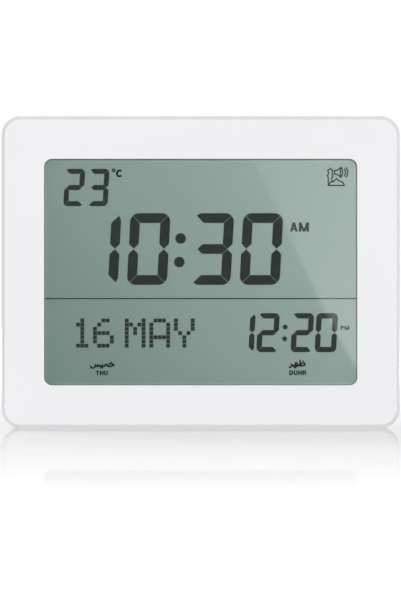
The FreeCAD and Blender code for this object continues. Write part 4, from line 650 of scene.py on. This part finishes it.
# Boards, cable and other pieces with a pattern of their own
def maskedBoard(name, look):  # solder mask over copper tracks, bare laminate on the sawn edges
    material, tree = newMaterial(name)
    coordinates = addNode(tree, "TexCoord").outputs
    turn = {"Rotation": (math.pi / 2, 0, 0), "Vector": coordinates["Object"]}
    tracks = addNode(tree, "TexBrick", {
        "Vector": addNode(tree, "Mapping", turn),
        "Scale": 1,
        "Mortar Size": look["track"] * mm,
        "Brick Width": look["run"] * mm,
        "Row Height": look["pitch"] * mm,
        "Mortar Smooth": look["soft"],
        "Color1": linear(look["mask"]),
        "Color2": linear(look["maskShade"]),
        "Mortar": linear(look["trackTone"]),
    }).outputs
    side = addNode(tree, "SeparateXYZ", {0: coordinates["Normal"]}).outputs["Y"]
    flat = addNode(tree, "Math", {"operation": "ABSOLUTE", 0: side})
    onFace = addNode(tree, "Math", {"operation": "GREATER_THAN", 0: flat, 1: 0.5})
    tones = {"data_type": "RGBA", 0: onFace, 6: linear(look["laminate"]), 7: tracks["Color"]}
    relief = {"Strength": 1, "Distance": look["step"] * mm, "Height": tracks["Fac"]}
    dust = {"Scale": 1 / (look["dust"] * mm), "Detail": 3, "Vector": coordinates["Object"]}
    low, high = look["roughness"]
    change = {"To Min": low, "To Max": high, "Value": addNode(tree, "TexNoise", dust)}
    board = addNode(tree, "BsdfPrincipled", {
        "Base Color": addNode(tree, "Mix", tones).outputs[2],
        "Roughness": addNode(tree, "MapRange", change),
        "Normal": addNode(tree, "Bump", relief),
        "IOR": look["ior"],
    })
    addNode(tree, "OutputMaterial", {"Surface": board})
    return material


# Green solder mask on fibreglass: tracks of 0.3 mm show as paler lines, drawn at 0.4 mm
greenBoard = {
    "mask": "#1F6B3A", "maskShade": "#1B6336", "trackTone": "#2F8A4E", "laminate": "#B7B08A",
    "track": 0.4, "run": 9.0, "pitch": 2.54, "soft": 0.1, "step": 0.035, "dust": 2.0,
    "roughness": (0.25, 0.5), "ior": 1.55,
}
coat(maskedBoard("greenSolderMask", greenBoard), "main_board", "key_board")
# White mask throws the lamps' light back into the guide; its tracks hardly show
whiteBoard = {
    **greenBoard,
    "mask": "#E6E6E0", "maskShade": "#E2E2DC", "trackTone": "#D6D6CF", "laminate": "#CFC9B0",
    "run": 15.0, "pitch": 0.8, "step": 0.03,
}
coat(maskedBoard("whiteSolderMask", whiteBoard), "backlight_led_strip")


def stripedSkin(name, look):  # bands of two colours along x, for layered and ribbed pieces
    material, tree = newMaterial(name)
    waves = addNode(tree, "TexWave", {
        "wave_type": "BANDS",
        "bands_direction": "X",
        "wave_profile": "SIN",
        "Scale": math.pi / 10 / (look["pitch"] * mm),  # the node has twenty radians in each unit
        "Vector": addNode(tree, "TexCoord").outputs["Object"],
    }).outputs["Fac"]
    low, high = look["change"]
    sharp = addNode(tree, "MapRange", {"From Min": low, "From Max": high, "Value": waves})
    tones = {"data_type": "RGBA", 6: linear(look["colour"]), 7: linear(look["second"])}
    skin = addNode(tree, "BsdfPrincipled", {
        "Base Color": addNode(tree, "Mix", {**tones, 0: sharp}).outputs[2],
        "Roughness": look["roughness"],
        "Normal": addNode(tree, "Bump", {"Strength": 1, "Distance": look["depth"] * mm, "Height": waves}),
        "IOR": look["ior"],
    })
    addNode(tree, "OutputMaterial", {"Surface": skin})
    return material


# Layered silicone strip: carbon-black and clear layers 0.1 mm apart, drawn at 1 mm to show
layeredSilicone = {
    "colour": "#D9A7AD", "second": "#3A3436", "pitch": 1.0, "change": (0.45, 0.55),
    "depth": 0.01, "roughness": 0.55, "ior": 1.43,
}
coat(stripedSkin("layeredSilicone", layeredSilicone), "zebra_strip")
# Ribbon cable: twelve cores 1 mm apart raise soft ribs in the grey PVC
ribbonPvc = {
    "colour": "#85888D", "second": "#9A9DA2", "pitch": 1.0, "change": (0.0, 0.5),
    "depth": 0.25, "roughness": 0.42, "ior": 1.53,
}
coat(stripedSkin("ribbonPvc", ribbonPvc), "key_cable")


# Zones along one axis, for pieces that join several finishes: each has a colour, and how metallic it is
def steppedSkin(name, look):
    material, tree = newMaterial(name)
    place = addNode(tree, "TexCoord").outputs["Object"]
    along = addNode(tree, "SeparateXYZ", {0: place}).outputs[look["axis"]]
    tone, metal = look["first"]
    colour = linear(tone)
    for limit, (tone, shine) in look["zones"]:
        past = addNode(tree, "Math", {"operation": "GREATER_THAN", 0: along, 1: limit * mm})
        colour = addNode(tree, "Mix", {"data_type": "RGBA", 0: past, 6: colour, 7: linear(tone)}).outputs[2]
        metal = addNode(tree, "Mix", {0: past, 2: metal, 3: shine})
    grain = addNode(tree, "TexNoise", {"Scale": 1 / (look["grain"] * mm), "Detail": 3, "Vector": place})
    low, high = look["roughness"]
    skin = addNode(tree, "BsdfPrincipled", {
        "Base Color": colour,
        "Metallic": metal,
        "Roughness": addNode(tree, "MapRange", {"To Min": low, "To Max": high, "Value": grain}),
        "Normal": addNode(tree, "Bump", {"Strength": 1, "Distance": look["depth"] * mm, "Height": grain}),
    })
    addNode(tree, "OutputMaterial", {"Surface": skin})
    return material


# Cells in a shrunk print: a dark sleeve with a copper-coloured plus end, and bare steel past the sleeve
batteryLook = {
    "axis": "X", "grain": 0.8, "depth": 0.002, "roughness": (0.22, 0.34),
    "steel": ("#BDBDBB", 1.0), "sleeve": ("#23364F", 0.3), "copper": ("#A9642F", 0.6),
    "flatEnd": 0.82,  # bare steel at the flat end, and what the crown and the copper band take at the other
    "crown": 1.97,
    "band": 14.37,
}


def cellSkin(name, node, look, plusRight):
    left, right = (corner.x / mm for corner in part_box(node))
    steel, sleeve, copper = look["steel"], look["sleeve"], look["copper"]
    flatEnd, crown, band = look["flatEnd"], look["crown"], look["band"]
    zones = [(left + crown, copper), (left + band, sleeve), (right - flatEnd, steel)]
    if plusRight:
        zones = [(left + flatEnd, sleeve), (right - band, copper), (right - crown, steel)]
    return steppedSkin(name, {**look, "first": steel, "zones": zones})


coat(cellSkin("printedCellSleeveUpper", "battery_upper", batteryLook, True), "battery_upper")
coat(cellSkin("printedCellSleeveLower", "battery_lower", batteryLook, False), "battery_lower")
# Tact switches: a black base and a plated cover with its button
coverThick = 0.7
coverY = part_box("tact_switches")[1].y / mm - coverThick
tactLayers = {
    "axis": "Y", "grain": 0.5, "depth": 0.004, "roughness": (0.3, 0.45),
    "first": ("#1C1C1D", 0.0), "zones": [(coverY, ("#B9BCBE", 1.0))],
}
coat(steppedSkin("platedSwitchCover", tactLayers), "tact_switches")
# Capacitors: a blue-black sleeve round the can, bare aluminium on its crown
crownHigh = 0.4
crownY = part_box("capacitors")[1].y / mm - crownHigh
capacitorLayers = {
    "axis": "Y", "grain": 0.6, "depth": 0.003, "roughness": (0.28, 0.4),
    "first": ("#1A2036", 0.0), "zones": [(crownY, ("#C5C7C8", 1.0))],
}
coat(steppedSkin("sleevedAluminiumCan", capacitorLayers), "capacitors")
# Lamps: a white case whose window over the phosphor is lemon yellow
phosphorDeep = 0.25
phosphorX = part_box("backlight_leds")[1].x / mm - phosphorDeep
lampLayers = {
    "axis": "X", "grain": 0.4, "depth": 0.002, "roughness": (0.25, 0.4),
    "first": ("#F0EEE6", 0.0), "zones": [(phosphorX, ("#E6D95A", 0.0))],
}
coat(steppedSkin("phosphorLampCase", lampLayers), "backlight_leds")


def frostedGuide(name, look):  # clear acrylic with etched dots that scatter the light forward
    material, tree = newMaterial(name)
    dots = addNode(tree, "TexVoronoi", {
        "Scale": 1 / (look["pitch"] * mm),
        "Randomness": 0,
        "Vector": addNode(tree, "TexCoord").outputs["Object"],
    }).outputs["Distance"]
    etched = addNode(tree, "Math", {"operation": "LESS_THAN", 0: dots, 1: look["dot"]})
    tones = {"data_type": "RGBA", 6: linear(look["clear"]), 7: linear(look["frost"])}
    low, high = look["roughness"]
    body = addNode(tree, "BsdfPrincipled", {
        "Base Color": addNode(tree, "Mix", {**tones, 0: etched}).outputs[2],
        "Roughness": addNode(tree, "MapRange", {"To Min": low, "To Max": high, "Value": etched}),
        "IOR": look["ior"],
    })
    through = addNode(tree, "BsdfTransparent")
    guide = addNode(tree, "MixShader", {0: look["solid"], 1: through, 2: body})
    addNode(tree, "OutputMaterial", {"Surface": guide})
    return material


# Light guide: real dots are 0.3 mm on a 1 mm grid, drawn on a 2 mm grid to show
guideLook = {
    "clear": "#D5E4DE", "frost": "#FAFCFB", "pitch": 2.0, "dot": 0.3,
    "roughness": (0.12, 0.6), "ior": 1.49, "solid": 0.75,
}
coat(frostedGuide("etchedAcrylicGuide", guideLook), "light_guide")
print("patterned pieces: finished")


# Camera, light and floor
faceY = boxOfFrame[0].y
cameraLook = {
    "height": 73.6,
    "across": -0.1,
    "distance": 2400,
    "viewWidth": 231.4,  # what the frame takes in at the face
    "sensor": 36,
    "clip": 60,  # m
}
cameraData = bpy.data.cameras.new("camera")
cameraData.sensor_fit = "HORIZONTAL"
cameraData.sensor_width = cameraLook["sensor"]
cameraData.lens = cameraLook["sensor"] * cameraLook["distance"] / cameraLook["viewWidth"]
cameraData.clip_end = cameraLook["clip"]
camera = bpy.data.objects.new("camera", cameraData)
camera.location = (cameraLook["across"] * mm, faceY - cameraLook["distance"] * mm, cameraLook["height"] * mm)
camera.rotation_euler = (math.pi / 2, 0, 0)
scene.collection.objects.link(camera)
scene.camera = camera

lightLook = {
    "world": 0.305,  # what comes from all sides
    "aim": (0, 0, 0.09),
    "front": {"spot": (0.25, -3.2, 0.5), "size": (1.6, 0.8), "strength": 0.6723},  # wholly above the floor
    "back": {"spot": (-1.2, 3.0, 2.2), "size": (1.6, 1.6), "strength": 0.6112},
}


def softLamp(name, look):  # its strength is how bright it makes a white wall that faces it
    data = bpy.data.lights.new(name, "AREA")
    data.shape = "RECTANGLE"
    data.size, data.size_y = look["size"]
    way = Vector(lightLook["aim"]) - Vector(look["spot"])
    data.energy = look["strength"] * (math.pi * way.length) ** 2
    lamp = bpy.data.objects.new(name, data)
    lamp.location = look["spot"]
    lamp.rotation_euler = way.to_track_quat("-Z", "Y").to_euler()
    lamp.visible_camera = False
    lamp.visible_glossy = False
    scene.collection.objects.link(lamp)


softLamp("frontLamp", lightLook["front"])
softLamp("backLamp", lightLook["back"])


def seenRays(tree):  # 1 for rays that show a surface to the camera, straight or in a mirror
    path = addNode(tree, "LightPath").outputs
    straight, mirrored = path["Is Camera Ray"], path["Is Glossy Ray"]
    return addNode(tree, "Math", {"operation": "MAXIMUM", 0: straight, 1: mirrored})


world = bpy.data.worlds.new("studio")
world.use_nodes = True
worldTree = world.node_tree
worldTree.nodes.clear()
passed = addNode(worldTree, "LightPath").outputs["Is Transmission Ray"]
white = addNode(worldTree, "Math", {"operation": "MAXIMUM", 0: seenRays(worldTree), 1: passed})
level = addNode(worldTree, "MapRange", {"To Min": lightLook["world"], "To Max": 1, "Value": white})
sky = addNode(worldTree, "Background", {"Color": (1, 1, 1, 1), "Strength": level})
addNode(worldTree, "OutputWorld", {"Surface": sky})
scene.world = world


def flatSheet(name, outline, material):
    mesh = bpy.data.meshes.new(name)
    mesh.from_pydata(outline, [], [tuple(range(len(outline)))])
    mesh.materials.append(material)
    sheet = bpy.data.objects.new(name, mesh)
    scene.collection.objects.link(sheet)
    return sheet


# Polished white board: at a low angle it mirrors the foot of the clock where it is nearest
floorLook = {
    "colour": "#B2B2B2",
    "reach": 9.0,
    "front": 4.0,
    "lift": 0.73,  # light of its own, a part of it for the clock too
    "liftShare": 0.15,
    "farLift": 0.5,  # far from the clock it goes over into the white of the backdrop
    "far": (0.9, 1.6),
    "roughness": 0.02,
    "mirror": 0.84,  # of what Fresnel's law gives at each angle
    "fade": 0.86,  # away from the clock the board gets duller, and here its mirror image ends
}


def floorMaterial(look):
    material, tree = newMaterial("polishedWhiteBoard")
    place = addNode(tree, "TexCoord").outputs["Object"]
    # What it mirrors: by the angle, and less with the way from the clock
    depth = addNode(tree, "SeparateXYZ", {0: place}).outputs["Y"]
    away = addNode(tree, "Math", {"operation": "ABSOLUTE", 0: depth})
    start, end = -faceY, look["fade"] - faceY
    fading = {"From Min": start, "From Max": end, "To Min": look["mirror"], "To Max": 0, "Value": away}
    fade = addNode(tree, "MapRange", fading)
    share = addNode(tree, "Math", {"operation": "MULTIPLY", 0: fade, 1: slanting(tree)})
    # Its light: what the lamps give it, with some of its own
    seen = seenRays(tree)
    near, distant = look["far"]
    apart = addNode(tree, "VectorMath", {"operation": "LENGTH", 0: place}).outputs["Value"]
    rise = {"From Min": near, "From Max": distant, "To Max": look["farLift"], "Value": apart}
    ownLight = {"To Min": look["lift"] * look["liftShare"], "To Max": look["lift"], "Value": seen}
    far, own = addNode(tree, "MapRange", rise), addNode(tree, "MapRange", ownLight)
    lift = addNode(tree, "Math", {"operation": "MULTIPLY_ADD", 0: far, 1: seen, 2: own})
    board = addNode(tree, "BsdfDiffuse", {"Color": linear(look["colour"])})
    glow = addNode(tree, "Emission", {"Color": (1, 1, 1, 1), "Strength": lift})
    floor = addNode(tree, "MixShader", {
        0: share,
        1: addNode(tree, "AddShader", {0: board, 1: glow}),
        2: addNode(tree, "BsdfAnisotropic", {"Roughness": look["roughness"]}),
    })
    addNode(tree, "OutputMaterial", {"Surface": floor})
    return material


reach, front = floorLook["reach"], floorLook["front"]
floorCorners = [(-reach, -front, 0), (reach, -front, 0), (reach, reach, 0), (-reach, reach, 0)]
floor = flatSheet("floor", floorCorners, floorMaterial(floorLook))
floor.visible_glossy = False  # a ray from the window passes it, to the white of the world or to a card

# A black card round the camera keeps the window clear; a lamp beside it gives the window its slanted glare.
# Outlines are where the window shows the cards, on the display's drawing grid
cardLook = {
    "paneDepth": 4.0,  # the panes lie about this far behind the face, as a slanting ray counts it
    "slack": 3.7,
    "flag": {
        "past": 0.05,  # how much further off than the camera
        "heights": (0.0, 0.3),
        "glow": (0.12, 0.12),  # at these heights
        "outline": [(20, 440), (20, 100), (400, 100), (400, 440)],
    },
    "softbox": {
        "past": 0.03,
        "heights": (0.02, 0.22),
        "glow": (1.8, 0.73),  # its tube is nearer the lower end
        "outline": [  # the first five points are the glare's slanted edge
            (249, 152), (284, 224), (318, 298), (338, 336), (362, 378), (420, 420), (420, 120), (249, 120)
        ],
    },
}


def cardMaterial(name, look):
    material, tree = newMaterial(name)
    distance = (cameraLook["distance"] * (1 + look["past"]) + cardLook["paneDepth"]) * mm
    path = addNode(tree, "LightPath").outputs["Ray Length"]
    near = {"operation": "COMPARE", 0: path, 1: distance, 2: cardLook["slack"] * mm}
    place = addNode(tree, "TexCoord").outputs["Object"]
    height = addNode(tree, "SeparateXYZ", {0: place}).outputs["Z"]
    (low, high), (lowGlow, highGlow) = look["heights"], look["glow"]
    strength = {"From Min": low, "From Max": high, "To Min": lowGlow, "To Max": highGlow, "Value": height}
    card = addNode(tree, "MixShader", {
        0: addNode(tree, "Math", near),
        1: addNode(tree, "BsdfTransparent"),  # a ray from the floor passes, so the board mirrors no card
        2: addNode(tree, "Emission", {"Strength": addNode(tree, "MapRange", strength)}),
    })
    addNode(tree, "OutputMaterial", {"Surface": card})
    return material


def toCard(column, row, past):  # the place behind the camera that the window shows at a point of the grid
    x, z = toFace(column, row)
    spot = Vector((x * mm, faceY, z * mm))
    way = spot - camera.location
    way.y = -way.y
    return tuple(spot + way * (1 + past))


for name, materialName in (("flag", "blackCard"), ("softbox", "softboxCloth")):
    look = cardLook[name]
    outline = [toCard(column, row, look["past"]) for column, row in look["outline"]]
    card = flatSheet(name, outline, cardMaterial(materialName, look))
    card.visible_camera = card.visible_diffuse = card.visible_shadow = card.visible_transmission = False
print("stage: set")
